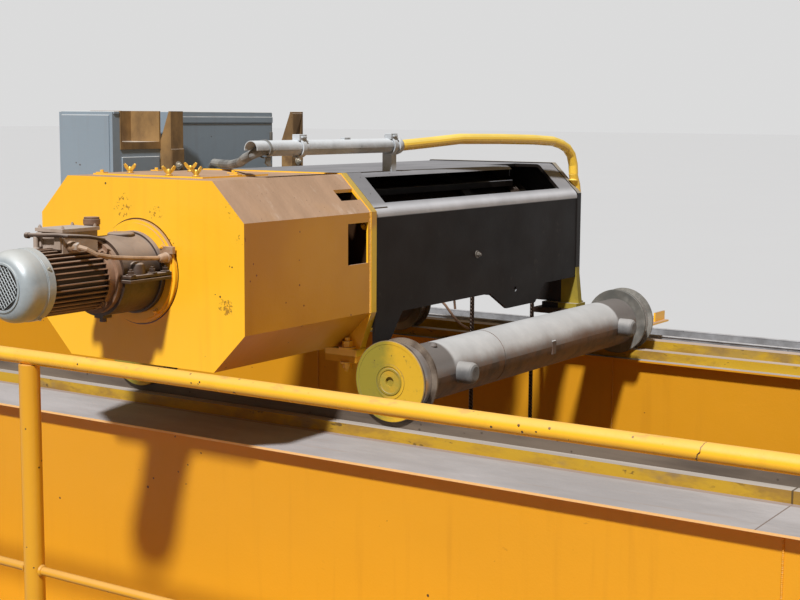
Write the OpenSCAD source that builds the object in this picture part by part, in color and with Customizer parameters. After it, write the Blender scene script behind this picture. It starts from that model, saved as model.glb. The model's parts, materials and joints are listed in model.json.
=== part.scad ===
// Double girder overhead travelling crane with a rope hoist trolley.
// X runs along the girders, Y across them with the railing at the low end, and Z is up.
// The floor of the frame is the plane that the four travel wheels stand on.

/* [Bridge] */
// Distance between the centre lines of the two end carriages
span = 12000; // [9000:10:16000]
// Distance between the two trolley rails, centre to centre
rail_gauge = 1400; // [1300:5:1700]
// Height of the top of the trolley rails above the floor
rail_top = 1000; // [980:5:1300]
// Depth of the front box girder
girder_depth = 790; // [600:5:820]
// Depth of both girders over the end carriages
girder_end_depth = 510; // [400:5:560]
// Length of the sloping stretch at each end of a girder
girder_taper = 600; // [300:10:1000]
// Width of a girder's top and bottom plates
flange_width = 350; // [320:5:420]
// Distance from the rail's centre line to the inner edge of the top plate
rail_inset = 50; // [45:1:80]
// Thickness of a girder's top and bottom plates
flange_thick = 6; // [5:1:16]
// How far the top plate stands past each web
flange_overhang = 34; // [10:1:40]

/* [Rails] */
// Width of a trolley rail
rail_width = 40; // [30:1:46]
// Height of a trolley rail
rail_height = 30; // [20:1:40]
// Width of the packing bar under the front rail
packing_width = 110; // [60:1:118]
// Height of the packing bar under the front rail
packing_height = 30; // [20:1:40]

/* [End carriages] */
// Distance between the two wheels of an end carriage
carriage_wheelbase = 2500; // [2300:10:3200]
// Length of an end carriage
carriage_len = 3140; // [2900:10:3800]
// Width of an end carriage
carriage_width = 240; // [200:5:320]
// Height of an end carriage
carriage_height = 300; // [240:5:360]
// Plate thickness of an end carriage
carriage_wall = 10; // [6:1:16]
// Tread diameter of a travel wheel
travel_tread_d = 280; // [240:5:300]
// Flange diameter of a travel wheel
travel_flange_d = 320; // [305:5:340]
// Overall width of a travel wheel
travel_wheel_w = 110; // [90:1:130]
// Width of the tread between a travel wheel's flanges
travel_tread_w = 70; // [50:1:80]

/* [Walkway] */
// Distance from an end carriage's centre line to the last railing post
railing_end = 300; // [260:10:500]
// Number of railing bays
bays = 6; // [4:1:6]
// Distance from the rail's centre line out to the railing
railing_reach = 923; // [800:1:1100]
// Height of the walkway floor above the frame's floor
walkway_z = 245; // [200:5:400]
// Height of the handrail's centre line above the walkway
handrail_height = 1000; // [900:5:1100]
// Height of the knee rail's centre line above the walkway
knee_height = 502; // [400:1:600]
// Diameter of the handrail tube
handrail_d = 34; // [26:1:48]
// Diameter of the knee rail
knee_d = 20; // [12:1:30]
// Diameter of a railing post
post_d = 48; // [40:1:60]
// Thickness of the walkway floor plate
walkway_thick = 6; // [4:1:10]
// Height of the toe board
toe_height = 100; // [60:5:150]
// Thickness of the toe board
toe_thick = 5; // [3:1:8]

/* [Trolley] */
// Place of the trolley along the girders
trolley_x = -60; // [-1000:10:1000]
// Distance between the left and right trolley wheels
trolley_wheelbase = 906; // [880:2:1000]
// Tread diameter of a trolley wheel
tread_d = 190; // [180:1:200]
// Flange diameter of a trolley wheel
wheel_flange_d = 220; // [214:1:230]
// Overall width of a trolley wheel
wheel_w = 70; // [66:1:80]
// Width of the tread between a trolley wheel's flanges
tread_w = 50; // [48:1:58]
// Diameter of the pin that carries a trolley wheel
axle_d = 76; // [50:1:90]
// Running clearance round an axle pin
axle_gap = 0.4; // [0.3:0.1:1]
// Outer diameter of the axle beam tubes
beam_d = 159; // [140:1:165]

/* [Hoist] */
// Width of the octagonal housing and drum frame
hoist_w = 690; // [640:2:700]
// Height of the octagonal housing
hoist_h = 470; // [440:2:480]
// Cut corner of the octagon
hoist_corner = 99; // [60:1:120]
// Height of the octagon's middle above the rail
hoist_mid = 401; // [395:1:430]
// Length of the gear housing
housing_len = 531; // [400:1:600]
// Thickness of the saddle plates
saddle_thick = 25; // [16:1:30]
// Length of the drum frame
frame_len = 1210; // [1100:5:1240]
// Place of the drum frame's front end across the trolley
frame_front = -645; // [-650:1:-600]
// Plate thickness of the drum frame
frame_wall = 10; // [6:1:14]
// Height of the drum frame's lower edge above the rail
frame_low = 252; // [220:1:280]
// Radius of the drum frame's folded edges
fold_r = 25; // [12:1:30]
// Radius at which the rope lies on the drum
drum_r = 200; // [150:1:210]
// Diameter of the hoist rope
rope_d = 14; // [10:1:16]

/* [Motor] */
// Radius of the round adapter plate on the housing
adapter_r = 131; // [120:1:140]
// Radius of the bell housing
bell_r = 98; // [90:1:110]
// Length of the bell housing
bell_len = 140; // [90:1:160]
// Radius of the motor body without its fins
motor_r = 70; // [60:1:78]
// Height of the cooling fins
fin_height = 10; // [6:1:14]
// Number of cooling fins
fin_count = 36; // [24:4:44]
// Length of the finned motor body
motor_len = 210; // [190:1:260]
// Outer radius of the fan cowl
cowl_r = 85; // [83:1:92]
// Length of the fan cowl
cowl_len = 84; // [60:1:110]

/* [Cable arm] */
// Outer diameter of the grey conduit pipe
conduit_d = 38; // [30:1:46]
// Outer diameter of the bent yellow tube
bent_d = 32; // [24:1:36]

/* [Cabinets] */
// Depth of the cabinets along the girders
cabinet_depth = 220; // [160:5:260]
// Height of the cabinets' top above the rail
cabinet_top = 800; // [760:5:860]
// Height of the control cabinets
cabinet_height = 420; // [300:5:460]

/* [Hidden] */

yellow = [0.96, 0.76, 0.20];
dark = [0.16, 0.14, 0.13];
grey = [0.62, 0.62, 0.60];
steel = [0.50, 0.48, 0.46];
blue_grey = [0.58, 0.64, 0.66];
rubber = [0.35, 0.36, 0.37];

half_gauge = rail_gauge / 2;
seam = 0.3;

// Girders
girder_len = span + carriage_width;
front_flange_top = rail_top - rail_height - packing_height;
rear_flange_top = rail_top - rail_height;
girder_low = front_flange_top - girder_depth;
girder_end_low = front_flange_top - girder_end_depth;
carriage_low = girder_end_low - carriage_height;
flange_in = half_gauge - rail_inset;
flange_out = flange_in + flange_width;
web_in = flange_in + flange_overhang;
web_out = flange_out - flange_overhang;

// Walkway
railing_y = -(half_gauge + railing_reach);
handrail_z = walkway_z + handrail_height;
knee_z = walkway_z + knee_height;
post_pitch = (span - 2 * railing_end) / bays;
walk_len = span - carriage_width - 10;
rail_len = bays * post_pitch + 80;

// Trolley
wheel_x = trolley_wheelbase / 2;
axle_z = tread_d / 2 + 0.3;
saddle_front = frame_front - saddle_thick;
frame_rear = frame_front + frame_len;
housing_front = saddle_front - housing_len;
hoist_top = hoist_mid + hoist_h / 2;
hoist_low = hoist_mid - hoist_h / 2;
beam_r = beam_d / 2;
beam_end = half_gauge - wheel_w / 2 - 6;
stop_x = span / 2 - 500;
buffer_len = 46;
buffer_r = 30;
buffer_front = -498;
buffer_rear = 543;
stop_wide = 60;
stop_high = 150;
stop_thick = 16;
stop_run = 120;
foot_x = 210;
foot_w = 105;
foot_z = 143;
foot_thick = 18;
foot_reach = 22;
plate_margin = 3;

// One plate or box from its two opposite corners
module block(low, high) {
    translate(low) cube(high - low);
}

// A round bar along Y from y0 to y1, or a ring when it has an inner diameter
module bar_y(x, z, y0, y1, d, fn = 48, inner = 0) {
    translate([x, y0, z]) rotate([-90, 0, 0]) difference() {
        cylinder(h = y1 - y0, d = d, $fn = fn);
        if (inner > 0) translate([0, 0, -1]) cylinder(h = y1 - y0 + 2, d = inner, $fn = fn);
    }
}

// A round bar along X from x0 to x1
module bar_x(y, z, x0, x1, d, fn = 48) {
    translate([x0, y, z]) rotate([0, 90, 0]) cylinder(h = x1 - x0, d = d, $fn = fn);
}

// Puts a piece in the trolley's own frame, whose height starts at the rail
module on_trolley() {
    translate([trolley_x, 0, rail_top]) children();
}

// Side view of a girder with its sloping ends
function girder_outline(top, low) = [
    [-girder_len / 2, top], [girder_len / 2, top],
    [girder_len / 2, girder_end_low], [span / 2 - carriage_width, girder_end_low],
    [span / 2 - carriage_width - girder_taper, low], [-span / 2 + carriage_width + girder_taper, low],
    [-span / 2 + carriage_width, girder_end_low], [-girder_len / 2, girder_end_low]];

module girder(side, top) {
    y0 = side > 0 ? web_in : -web_out;
    y1 = side > 0 ? web_out : -web_in;
    f0 = side > 0 ? flange_in : -flange_out;
    f1 = side > 0 ? flange_out : -flange_in;
    translate([0, y1, 0]) rotate([90, 0, 0]) linear_extrude(height = y1 - y0)
        polygon(girder_outline(top - flange_thick, girder_low));
    block([-girder_len / 2, f0, top - flange_thick], [girder_len / 2, f1, top]);
    translate([0, f1, 0]) rotate([90, 0, 0]) linear_extrude(height = f1 - f0)
        polygon(concat(lower_edge(0), [for (i = [5:-1:0]) lower_edge(flange_thick)[i]]));
}

// The lower edge of a girder from left to right, lifted by some height
function lower_edge(lift) = let (a = span / 2 - carriage_width, b = a - girder_taper) [
    [-girder_len / 2, girder_end_low + lift], [-a, girder_end_low + lift], [-b, girder_low + lift],
    [b, girder_low + lift], [a, girder_end_low + lift], [girder_len / 2, girder_end_low + lift]];

module front_girder() {
    color(yellow) girder(-1, front_flange_top);
}

module rear_girder() {
    color(yellow) girder(1, rear_flange_top);
}

module front_rail_base() {
    color(yellow)
        block([-girder_len / 2, -half_gauge - packing_width / 2, front_flange_top],
              [girder_len / 2, -half_gauge + packing_width / 2, front_flange_top + packing_height]);
}

module rail(y) {
    block([-girder_len / 2, y - rail_width / 2, rail_top - rail_height],
          [girder_len / 2, y + rail_width / 2, rail_top]);
}

module front_rail() {
    color(steel) rail(-half_gauge);
}

module rear_rail() {
    color(yellow) rail(half_gauge);
}

// End carriage: a box beam along Y, open below at each end for its wheel
module end_carriage(x) {
    half = carriage_len / 2;
    pocket = travel_flange_d + 30;
    difference() {
        block([x - carriage_width / 2, -half, carriage_low],
              [x + carriage_width / 2, half, girder_end_low]);
        for (s = [-1, 1])
            translate([x, s * carriage_wheelbase / 2, 0])
                block([-carriage_width / 2 + carriage_wall, -pocket / 2, carriage_low - 1],
                      [carriage_width / 2 - carriage_wall, pocket / 2, girder_end_low - carriage_wall]);
        for (s = [-1, 1])
            bar_x(s * carriage_wheelbase / 2, travel_flange_d / 2, x - carriage_width, x + carriage_width,
                  travel_axle_d + 2 * seam);
    }
}

travel_axle_d = 80;

module end_carriages() {
    color(yellow) for (s = [-1, 1]) end_carriage(s * span / 2);
}

// Double flanged wheel about the origin, its axle along Y, with a bore
module flanged_wheel(flange_d, tread, width, tread_width, bore) {
    rim = (width - tread_width) / 2;
    slope = 2;
    rotate([90, 0, 0]) rotate_extrude($fn = 96) polygon([
        [bore / 2, -width / 2], [flange_d / 2 - 2, -width / 2], [flange_d / 2, -width / 2 + 2],
        [flange_d / 2, -width / 2 + rim - slope], [tread / 2, -width / 2 + rim],
        [tread / 2, width / 2 - rim], [flange_d / 2, width / 2 - rim + slope],
        [flange_d / 2, width / 2 - 2], [flange_d / 2 - 2, width / 2], [bore / 2, width / 2]]);
}

// Two travel wheels under each end carriage, with their axles, turned to run along Y
module travel_wheels() {
    color(steel) for (sx = [-1, 1], sy = [-1, 1]) {
        translate([sx * span / 2, sy * carriage_wheelbase / 2, travel_flange_d / 2]) rotate([0, 0, 90])
            flanged_wheel(travel_flange_d, travel_tread_d, travel_wheel_w, travel_tread_w, 0);
        bar_x(sy * carriage_wheelbase / 2, travel_flange_d / 2, sx * span / 2 - carriage_width / 2 - 12,
              sx * span / 2 + carriage_width / 2 + 12, travel_axle_d);
    }
}

// Geared motor on the inner face of each end carriage: a gear case and a finned motor
module travel_drives() {
    color(blue_grey) for (m = [0, 1]) mirror([m, 0, 0]) {
        x1 = span / 2 - carriage_width / 2 - drive_gap;
        x0 = x1 - drive_case;
        y = carriage_wheelbase / 2;
        motor_y = y + 0.7 * drive_motor_d;
        z = travel_flange_d / 2;
        bar_x(y, z, x0, x1, 1.5 * drive_motor_d);
        block([x0, y, z - drive_motor_d / 2], [x1, y + 1.1 * drive_motor_d, z + drive_motor_d / 2]);
        bar_x(motor_y, z, x0 - drive_motor_len, x0, drive_motor_d);
        for (i = [0:15]) translate([x0 - drive_motor_len + 50, motor_y, z]) rotate([22.5 * i, 0, 0])
            block([0, -2, drive_motor_d / 2 - 1], [drive_motor_len - 80, 2, drive_motor_d / 2 + 8]);
        bar_x(motor_y, z, x0 - drive_motor_len - 40, x0 - drive_motor_len + 40, drive_motor_d + 18);
    }
}

drive_gap = 12;
drive_case = 90;
drive_motor_d = 140;
drive_motor_len = 240;

module end_carriage_buffers() {
    color(rubber) for (sx = [-1, 1], sy = [-1, 1])
        translate([sx * span / 2, sy * carriage_len / 2, (carriage_low + girder_end_low) / 2])
            rotate([-90 * sy, 0, 0]) cylinder(h = 100, d1 = 110, d2 = 80, $fn = 48);
}

// Welded stops that end the trolley's travel, in line with its four buffers
module trolley_stops() {
    color(yellow) for (sx = [-1, 1], sy = [-1, 1])
        translate([sx * stop_x, 0, rail_top])
            mirror([sx < 0 ? 1 : 0, 0, 0]) mirror([0, sy < 0 ? 1 : 0, 0]) {
            line = sy < 0 ? -buffer_front : buffer_rear;
            low = line - stop_wide;
            block([0, low, 0], [stop_thick, half_gauge + stop_wide / 2, stop_high]);
            for (y = [line, half_gauge])
                across(y - stop_thick / 2, y + stop_thick / 2) translate([stop_thick, 0])
                    polygon([[0, 0], [stop_run, 0], [0, stop_high - 10]]);
            block([0, low, -stop_thick], [stop_thick + stop_run, half_gauge - rail_width / 2, 0]);
        }
}

module walkway_floor() {
    edge = railing_y - 40;
    color(yellow) {
        block([-walk_len / 2, edge, walkway_z - walkway_thick], [walk_len / 2, -flange_out, walkway_z]);
        block([-walk_len / 2, edge, walkway_z], [walk_len / 2, edge + toe_thick, walkway_z + toe_height]);
    }
}

// A bracket under the walkway at each post, and an angle on each end carriage
module walkway_brackets() {
    low = walkway_z - walkway_thick;
    color(yellow) {
        for (i = [1:bays - 1]) translate([(i - bays / 2) * post_pitch + 5, 0, 0])
            rotate([90, 0, -90]) linear_extrude(height = 10)
                polygon([[web_out, low], [-railing_y + 38, low], [-railing_y + 38, low - 50],
                    [web_out, girder_low + flange_thick + 8]]);
        for (m = [0, 1]) mirror([m, 0, 0]) {
            x = (span - carriage_width) / 2;
            block([x - 70, -carriage_len / 2 + 20, low - 6], [x, -flange_out, low]);
            block([x - 6, -carriage_len / 2 + 20, low - 32], [x, -flange_out, low]);
        }
    }
}

module railing_posts() {
    color(yellow) for (i = [0:bays])
        translate([(i - bays / 2) * post_pitch, railing_y, walkway_z])
            cylinder(h = handrail_height - handrail_d / 2, d = post_d, $fn = 48);
}

module handrail() {
    color(yellow) bar_x(railing_y, handrail_z, -rail_len / 2, rail_len / 2, handrail_d);
}

module knee_rail() {
    color(yellow) for (i = [0:bays - 1]) {
        x0 = (i - bays / 2) * post_pitch + post_d / 2;
        bar_x(railing_y, knee_z, x0, x0 + post_pitch - post_d, knee_d);
    }
}

tray_in = 1030;
tray_out = 1200;
tray_top = rail_top + 2;
tray_arm = 40;
tray_pitch = (girder_len - 800) / 10;
guide_in = 794;
guide_w = 50;
guide_h = 48;

// Cable tray outside the rear girder, its edge angle and its brackets
module cable_tray() {
    color(grey) {
        for (y = [tray_in, tray_out - 3])
            block([-girder_len / 2 + 300, y, tray_top - 50], [girder_len / 2 - 300, y + 3, tray_top]);
        block([-girder_len / 2 + 300, tray_in, tray_top - 53],
              [girder_len / 2 - 300, tray_out, tray_top - 50]);
        for (i = [-5:5])
            block([i * tray_pitch - tray_arm / 2, web_out, tray_top - 53 - tray_arm],
                  [i * tray_pitch + tray_arm / 2, tray_out, tray_top - 53]);
    }
}

// Square bar on the rear girder, outside its rail
module guide_bar() {
    color(yellow) block([-girder_len / 2, guide_in, rear_flange_top],
                        [girder_len / 2, guide_in + guide_w, rear_flange_top + guide_h]);
}

// Axle beam: a tube between the front and rear wheels with an end plug and a pin at each end
module axle_beam(x) {
    difference() {
        union() {
            bar_y(x, axle_z, -beam_end, beam_end, beam_d, 96);
            bar_y(x, axle_z, -half_gauge - wheel_w / 2, half_gauge + wheel_w / 2, axle_d, 72);
            mirror([x < 0 ? 1 : 0, 0, 0]) {
                for (y = [frame_front - lug_front, frame_rear - lug_long / 2])
                    block([foot_x, y, foot_z - foot_thick], [wheel_x - lug_in, y + lug_long, foot_z]);
                block([foot_x, saddle_front - foot_reach, foot_z - foot_thick],
                      [foot_x + foot_w, frame_front, foot_z]);
            }
        }
        bar_y(x, axle_z, -252, -248, beam_d + 2, 96, beam_d - 3);
        for (s = [-1, 1])
            translate([x, s * (half_gauge + wheel_w / 2 - 9.5), axle_z]) rotate([90, 0, 0])
                cylinder(h = 20, d = 26, center = true, $fn = 36);
    }
}

lug_in = 40;
lug_long = 100;
lug_front = 13;

module axle_beams() {
    color(grey) on_trolley() for (s = [-1, 1]) axle_beam(s * wheel_x);
}

module trolley_wheel(sx, sy) {
    color(yellow) on_trolley() translate([sx * wheel_x, sy * half_gauge, axle_z])
        flanged_wheel(wheel_flange_d, tread_d, wheel_w, tread_w, axle_d + 2 * axle_gap);
}

// The octagon of the hoist, as points in X and height
function octagon(w, h, c) = [
    [-w / 2 + c, h / 2], [w / 2 - c, h / 2], [w / 2, h / 2 - c], [w / 2, -h / 2 + c],
    [w / 2 - c, -h / 2], [-w / 2 + c, -h / 2], [-w / 2, -h / 2 + c], [-w / 2, h / 2 - c]];

// Extrudes an outline in X and height from y0 to y1
module across(y0, y1) {
    translate([0, y1, 0]) rotate([90, 0, 0]) linear_extrude(height = y1 - y0) children();
}

// Front saddle plate: the hoist's octagon with a foot at each lower corner, bolted to a lug
module front_saddle_plate() {
    w = hoist_w / 2 + plate_margin;
    color(yellow) on_trolley() {
        across(saddle_front, frame_front)
            translate([0, hoist_mid]) polygon(octagon(2 * w, hoist_h + 2 * plate_margin, hoist_corner + 2));
        for (m = [0, 1]) mirror([m, 0, 0]) {
            across(saddle_front, frame_front)
                polygon([[foot_x, foot_z], [foot_x + foot_w - 10, foot_z], [w, hoist_mid - 136],
                    [w - 60, hoist_mid - 136], [foot_x, hoist_mid - 190]]);
            block([foot_x, saddle_front - foot_reach, foot_z],
                  [foot_x + foot_w, frame_front, foot_z + foot_thick]);
        }
    }
}

// Rear saddle plate: the same octagon with upright legs on the beams' rear lugs
module rear_saddle_plate() {
    w = hoist_w / 2 + plate_margin;
    color(yellow) on_trolley() {
        across(frame_rear, frame_rear + saddle_thick)
            translate([0, hoist_mid]) polygon(octagon(2 * w, hoist_h + 2 * plate_margin, hoist_corner + 2));
        for (m = [0, 1]) mirror([m, 0, 0]) {
            across(frame_rear, frame_rear + saddle_thick)
                polygon([[foot_x + 40, foot_z], [w + 14, foot_z], [w, hoist_mid - 136],
                    [w - 60, hoist_mid - 136], [foot_x + 40, hoist_mid - 190]]);
            block([foot_x + 20, frame_rear - foot_reach, foot_z],
                  [w + 14, frame_rear + 46, foot_z + foot_thick]);
        }
    }
}

// Sheet housing of the gearbox, with the two cut-outs near its rear end
module gear_housing() {
    wall = 6;
    side = hoist_w / 2;
    edge = side - hoist_corner;
    fold = hoist_top - hoist_corner;
    color(yellow) on_trolley() difference() {
        across(housing_front, saddle_front)
            translate([0, hoist_mid]) polygon(octagon(hoist_w, hoist_h, hoist_corner));
        across(housing_front + wall, saddle_front + 1) translate([0, hoist_mid])
            polygon(octagon(hoist_w - 2 * wall, hoist_h - 2 * wall, hoist_corner - wall / 2));
        block([side - 40, saddle_front - 104, hoist_mid], [side + 1, saddle_front - 11, hoist_mid + 110]);
        block([edge + 38, saddle_front - 88, fold], [edge + 66, saddle_front - 2, hoist_top + 1]);
    }
}

// Thin inspection cover on top of the gear housing
module housing_cover() {
    color(yellow) on_trolley()
        block([-hoist_w / 3, housing_front + 76, hoist_top],
              [hoist_w / 4.6, saddle_front - 195, hoist_top + 4]);
}

// Room below the drum frame's sides, as points across the trolley and heights
function frame_edge() = let (e = frame_low, t = frame_low - frame_lobe, f = frame_front) [
    [f - 1, t - 1], [f - 1, e], [f + 625, e], [f + 733, t],
    [f + 921, t], [f + 988, e], [frame_rear + 1, e], [frame_rear + 1, t - 1]];

// A rounded fold at a corner, as points from one angle to another about its bend
function fold(corner, r, a0, a1) = let (m = (a0 + a1) / 2, c = r / cos((a1 - a0) / 2))
    [for (i = [0:fold_steps]) let (a = a0 + (a1 - a0) * i / fold_steps)
        corner + [r * cos(a) - c * cos(m), r * sin(a) - c * sin(m)]];

// Right half of the drum frame's section, in X and height, folded along its two upper edges
function frame_half(side, edge, top, r) = concat([[side, frame_low - frame_lobe]],
    fold([side, top - side + edge], r, 0, 45), fold([edge, top], r, 45, 90));

// Drum frame: a folded sheet, open below and through its right upper face
module drum_frame() {
    side = hoist_w / 2;
    edge = side - hoist_corner;
    inner = side - frame_wall;
    outside = frame_half(side, edge, hoist_top, fold_r);
    inside = frame_half(inner, edge - frame_wall * 0.41, hoist_top - frame_wall, fold_r - frame_wall);
    n = len(outside) - 1;
    color(dark) on_trolley() {
        difference() {
            across(frame_front, frame_rear) polygon(concat(
                outside, [for (i = [n:-1:0]) [-outside[i][0], outside[i][1]]],
                [for (i = [0:n]) [-inside[i][0], inside[i][1]]], [for (i = [n:-1:0]) inside[i]]));
            rotate([90, 0, 90]) linear_extrude(height = 2 * hoist_w, center = true) polygon(frame_edge());
            block([edge - 4, frame_front + window_front, hoist_top - hoist_corner + 19],
                  [side + 1, frame_rear - window_rear, hoist_top - 11]);
            block([edge - 90, frame_rear - 301, hoist_top - frame_wall - 20],
                  [side, frame_rear - window_rear, hoist_top + 1]);
            for (q = [[-102, hoist_mid - 21], [142, hoist_mid - 150]])
                bar_x(q[0], q[1], side - 2 * frame_wall, side + 1, 16, 24);
        }
        for (m = [0, 1]) mirror([m, 0, 0]) translate([inner, 0, 0])
            rotate([90, 0, 90]) linear_extrude(height = frame_wall)
                polygon([[frame_front, frame_low + 36], [frame_front + 155, frame_low + 36],
                    [frame_front + 135, frame_low], [frame_front + 47, foot_z + seam],
                    [frame_front, foot_z + seam]]);
    }
}

frame_lobe = 58;
fold_steps = 5;
window_front = 74;
window_rear = 94;

// Grooved rope drum between the two saddle plates
module rope_drum() {
    color(steel) on_trolley() {
        bar_y(0, hoist_mid, frame_front, frame_rear, 90);
        bar_y(0, hoist_mid, frame_front + 50, frame_rear - 20, 2 * drum_r - rope_d, 96);
    }
}

module adapter_plate() {
    color(yellow) on_trolley() {
        bar_y(0, hoist_mid, housing_front - 8, housing_front, 2 * adapter_r, 96);
        bar_y(0, hoist_mid, housing_front - 12, housing_front - 8, 2 * adapter_r - 16, 96, 2 * bell_r + 6);
    }
}

bell_front = housing_front - 8 - bell_len;
motor_front = bell_front - motor_len;
shield_len = 34;
box_w = 84;
box_len = 112;
box_front = motor_front + 64;
box_top = hoist_mid + 118;

// Gear case between the motor and the housing, split along its middle, with its breather
module bell_housing() {
    color(grey) on_trolley() {
        bar_y(0, hoist_mid, bell_front, housing_front - 8, 2 * bell_r, 96);
        block([-bell_r - 12, bell_front + 8, hoist_mid - 8],
              [bell_r + 12, housing_front - 12, hoist_mid + 8]);
        block([-15, bell_front + 6, hoist_mid - bell_r - 6],
              [15, bell_front + 36, hoist_mid - bell_r + 20]);
        translate([0, bell_front + 21, hoist_mid - bell_r - 16]) cylinder(h = 14, d = 18, $fn = 6);
    }
}

// Motor body with straight cooling fins, its end shield and the lifting stud on top
module hoist_motor() {
    color(dark) on_trolley() {
        bar_y(0, hoist_mid, motor_front, bell_front, 2 * motor_r, 72);
        across(motor_front + 4, bell_front - shield_len) translate([0, hoist_mid])
            for (i = [0:fin_count - 1])
                rotate(i * 360 / fin_count) translate([motor_r - 1, -1.5]) square([fin_height + 1, 3]);
        bar_y(0, hoist_mid, bell_front - shield_len, bell_front - 14, 2 * (motor_r + fin_height), 72);
        bar_y(0, hoist_mid, bell_front - 14, bell_front, 2 * bell_r - 16, 72);
        translate([0, box_front + box_len + 23, hoist_mid + motor_r - 4]) {
            cylinder(h = 56, d = 19, $fn = 36);
            translate([0, 0, 56]) cylinder(h = 24, d = 37, $fn = 48);
        }
    }
}

module fan_cowl() {
    color(blue_grey) on_trolley() translate([0, motor_front, hoist_mid]) rotate([90, 0, 0])
        rotate_extrude($fn = 96) polygon([[0, 0], [cowl_r, 0], [cowl_r, cowl_len - 34],
            [cowl_r - 5, cowl_len - 20], [cowl_r - 14, cowl_len - 9],
            [cowl_r - 27, cowl_len], [0, cowl_len]]);
}

// Terminal box with its lid and cable gland, shaped to the motor below
module terminal_box() {
    color(grey) on_trolley() difference() {
        union() {
            block([-box_w / 2, box_front, hoist_mid + 50], [box_w / 2, box_front + box_len, box_top]);
            block([-box_w / 2 - 4, box_front - 4, box_top],
                  [box_w / 2 + 4, box_front + box_len + 4, box_top + 8]);
            bar_x(box_front + 24, box_top - 34, box_w / 2 - 1, box_w / 2 + 30, 22, 6);
        }
        bar_y(0, hoist_mid, motor_front, bell_front, 2 * (motor_r + fin_height + seam), 72);
    }
}

cable_points = [
    [box_w / 2 + 30.3, box_front + 24, box_top - 34], [box_w / 2 + 34, box_front + 24, box_top - 34],
    [box_w / 2 + 47, box_front + 30, box_top - 38],
    [box_w / 2 + 58, box_front + 52, box_top - 52], [box_w / 2 + 64, box_front + 100, box_top - 62],
    [box_w / 2 + 67, box_front + 180, box_top - 70], [box_w / 2 + 68, housing_front - 56, box_top - 74],
    [box_w / 2 + 68, housing_front - 12.3, box_top - 76]];

// A tube of round section swept along a list of points
module swept_tube(points, d, sides = 8) {
    n = len(points);
    function dir(i) = let (a = points[max(i - 1, 0)], b = points[min(i + 1, n - 1)]) (b - a) / norm(b - a);
    function ring(i) = let (t = dir(i),
        u0 = cross(t, [0, 0, 1]), u = norm(u0) < 0.01 ? [1, 0, 0] : u0 / norm(u0), v = cross(u, t))
        [for (k = [0:sides - 1]) points[i] + d / 2 * (cos(k * 360 / sides) * u + sin(k * 360 / sides) * v)];
    verts = [for (i = [0:n - 1]) each ring(i)];
    polyhedron(points = verts, faces = concat(
        [[for (k = [0:sides - 1]) k]],
        [[for (k = [sides - 1:-1:0]) (n - 1) * sides + k]],
        [for (i = [0:n - 2], k = [0:sides - 1]) let (a = i * sides + k, b = i * sides + (k + 1) % sides)
            [a, a + sides, b + sides, b]]));
}

module motor_cable() {
    color(grey) on_trolley() swept_tube(cable_points, 11, 8);
}

arm_x = 230;
arm_z = hoist_top + 73;
arm_front = -965;
arm_rear = -368;

// Grey conduit pipe over the housing, clamped to a saddle on the drum frame
module conduit_pipe() {
    color(grey) on_trolley() {
        bar_y(arm_x, arm_z, arm_front, arm_rear, conduit_d, 48, conduit_d - 6);
        for (y = [arm_rear - 30])
            difference() {
                block([arm_x - 24, y - 12, hoist_top], [arm_x + 8, y + 12, arm_z]);
                bar_y(arm_x, arm_z, y - 13, y + 13, conduit_d - 1);
            }
    }
}

// Flexible hose from the conduit's open end over the housing's top to the cabinets
module conduit_hose() {
    color(grey) on_trolley() swept_tube([
        [arm_x, arm_front + 60, arm_z], [arm_x, arm_front - 4, arm_z - 1],
        [arm_x - 6, arm_front - 25, arm_z - 6], [arm_x - 24, arm_front - 38, arm_z - 15],
        [arm_x - 52, arm_front - 27, arm_z - 24], [arm_x - 170, arm_front + 95, hoist_top + 33],
        [-hoist_w / 8, -735, hoist_top + 20], [-hoist_w / 3.4, -640, hoist_top + 17],
        [-hoist_w / 2.6, -598, hoist_top + 17], [-hoist_w / 2.3, -568, hoist_top + 4],
        [-hoist_w / 1.9, -515, hoist_top - 54], [cab_x + 76, -482, hoist_top - 108],
        [cab_x + 34, -470, hoist_top - 134], [cab_x + 0.3, -470, hoist_top - 134]], 25, 12);
}

// Yellow tube that leaves the conduit, runs to the rear and turns down onto the rear plate
module bent_tube() {
    color(yellow) on_trolley() swept_tube(arm_points, bent_d, 16);
}

tube_end = frame_rear + saddle_thick / 2;
drop_x = hoist_w / 2 - 23;
arm_points = [[arm_x, arm_rear + 0.3, arm_z], [arm_x + 4, -345, arm_z + 1], [arm_x + 15, -215, arm_z + 8],
    [arm_x + 30, -69, arm_z + 17], [arm_x + 50, 143, arm_z + 15], [arm_x + 68, 330, arm_z + 11],
    [arm_x + 78, tube_end - 130, arm_z + 5], [drop_x - 8, tube_end - 82, arm_z - 5],
    [drop_x - 4, tube_end - 44, arm_z - 19], [drop_x - 1, tube_end - 16, arm_z - 43],
    [drop_x, tube_end - 2, arm_z - 75], [drop_x, tube_end + 2, arm_z - 105],
    [drop_x, tube_end, hoist_top - 56]];

cab_x = -500;
post_w = 45;
post_deep = 55;
recess = [-749, -578];
recess_high = 110;
post_y = [recess[1], 20];
cabinets_front = recess[0] - 30;
cabinets_rear = post_y[1] - 51;

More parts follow.
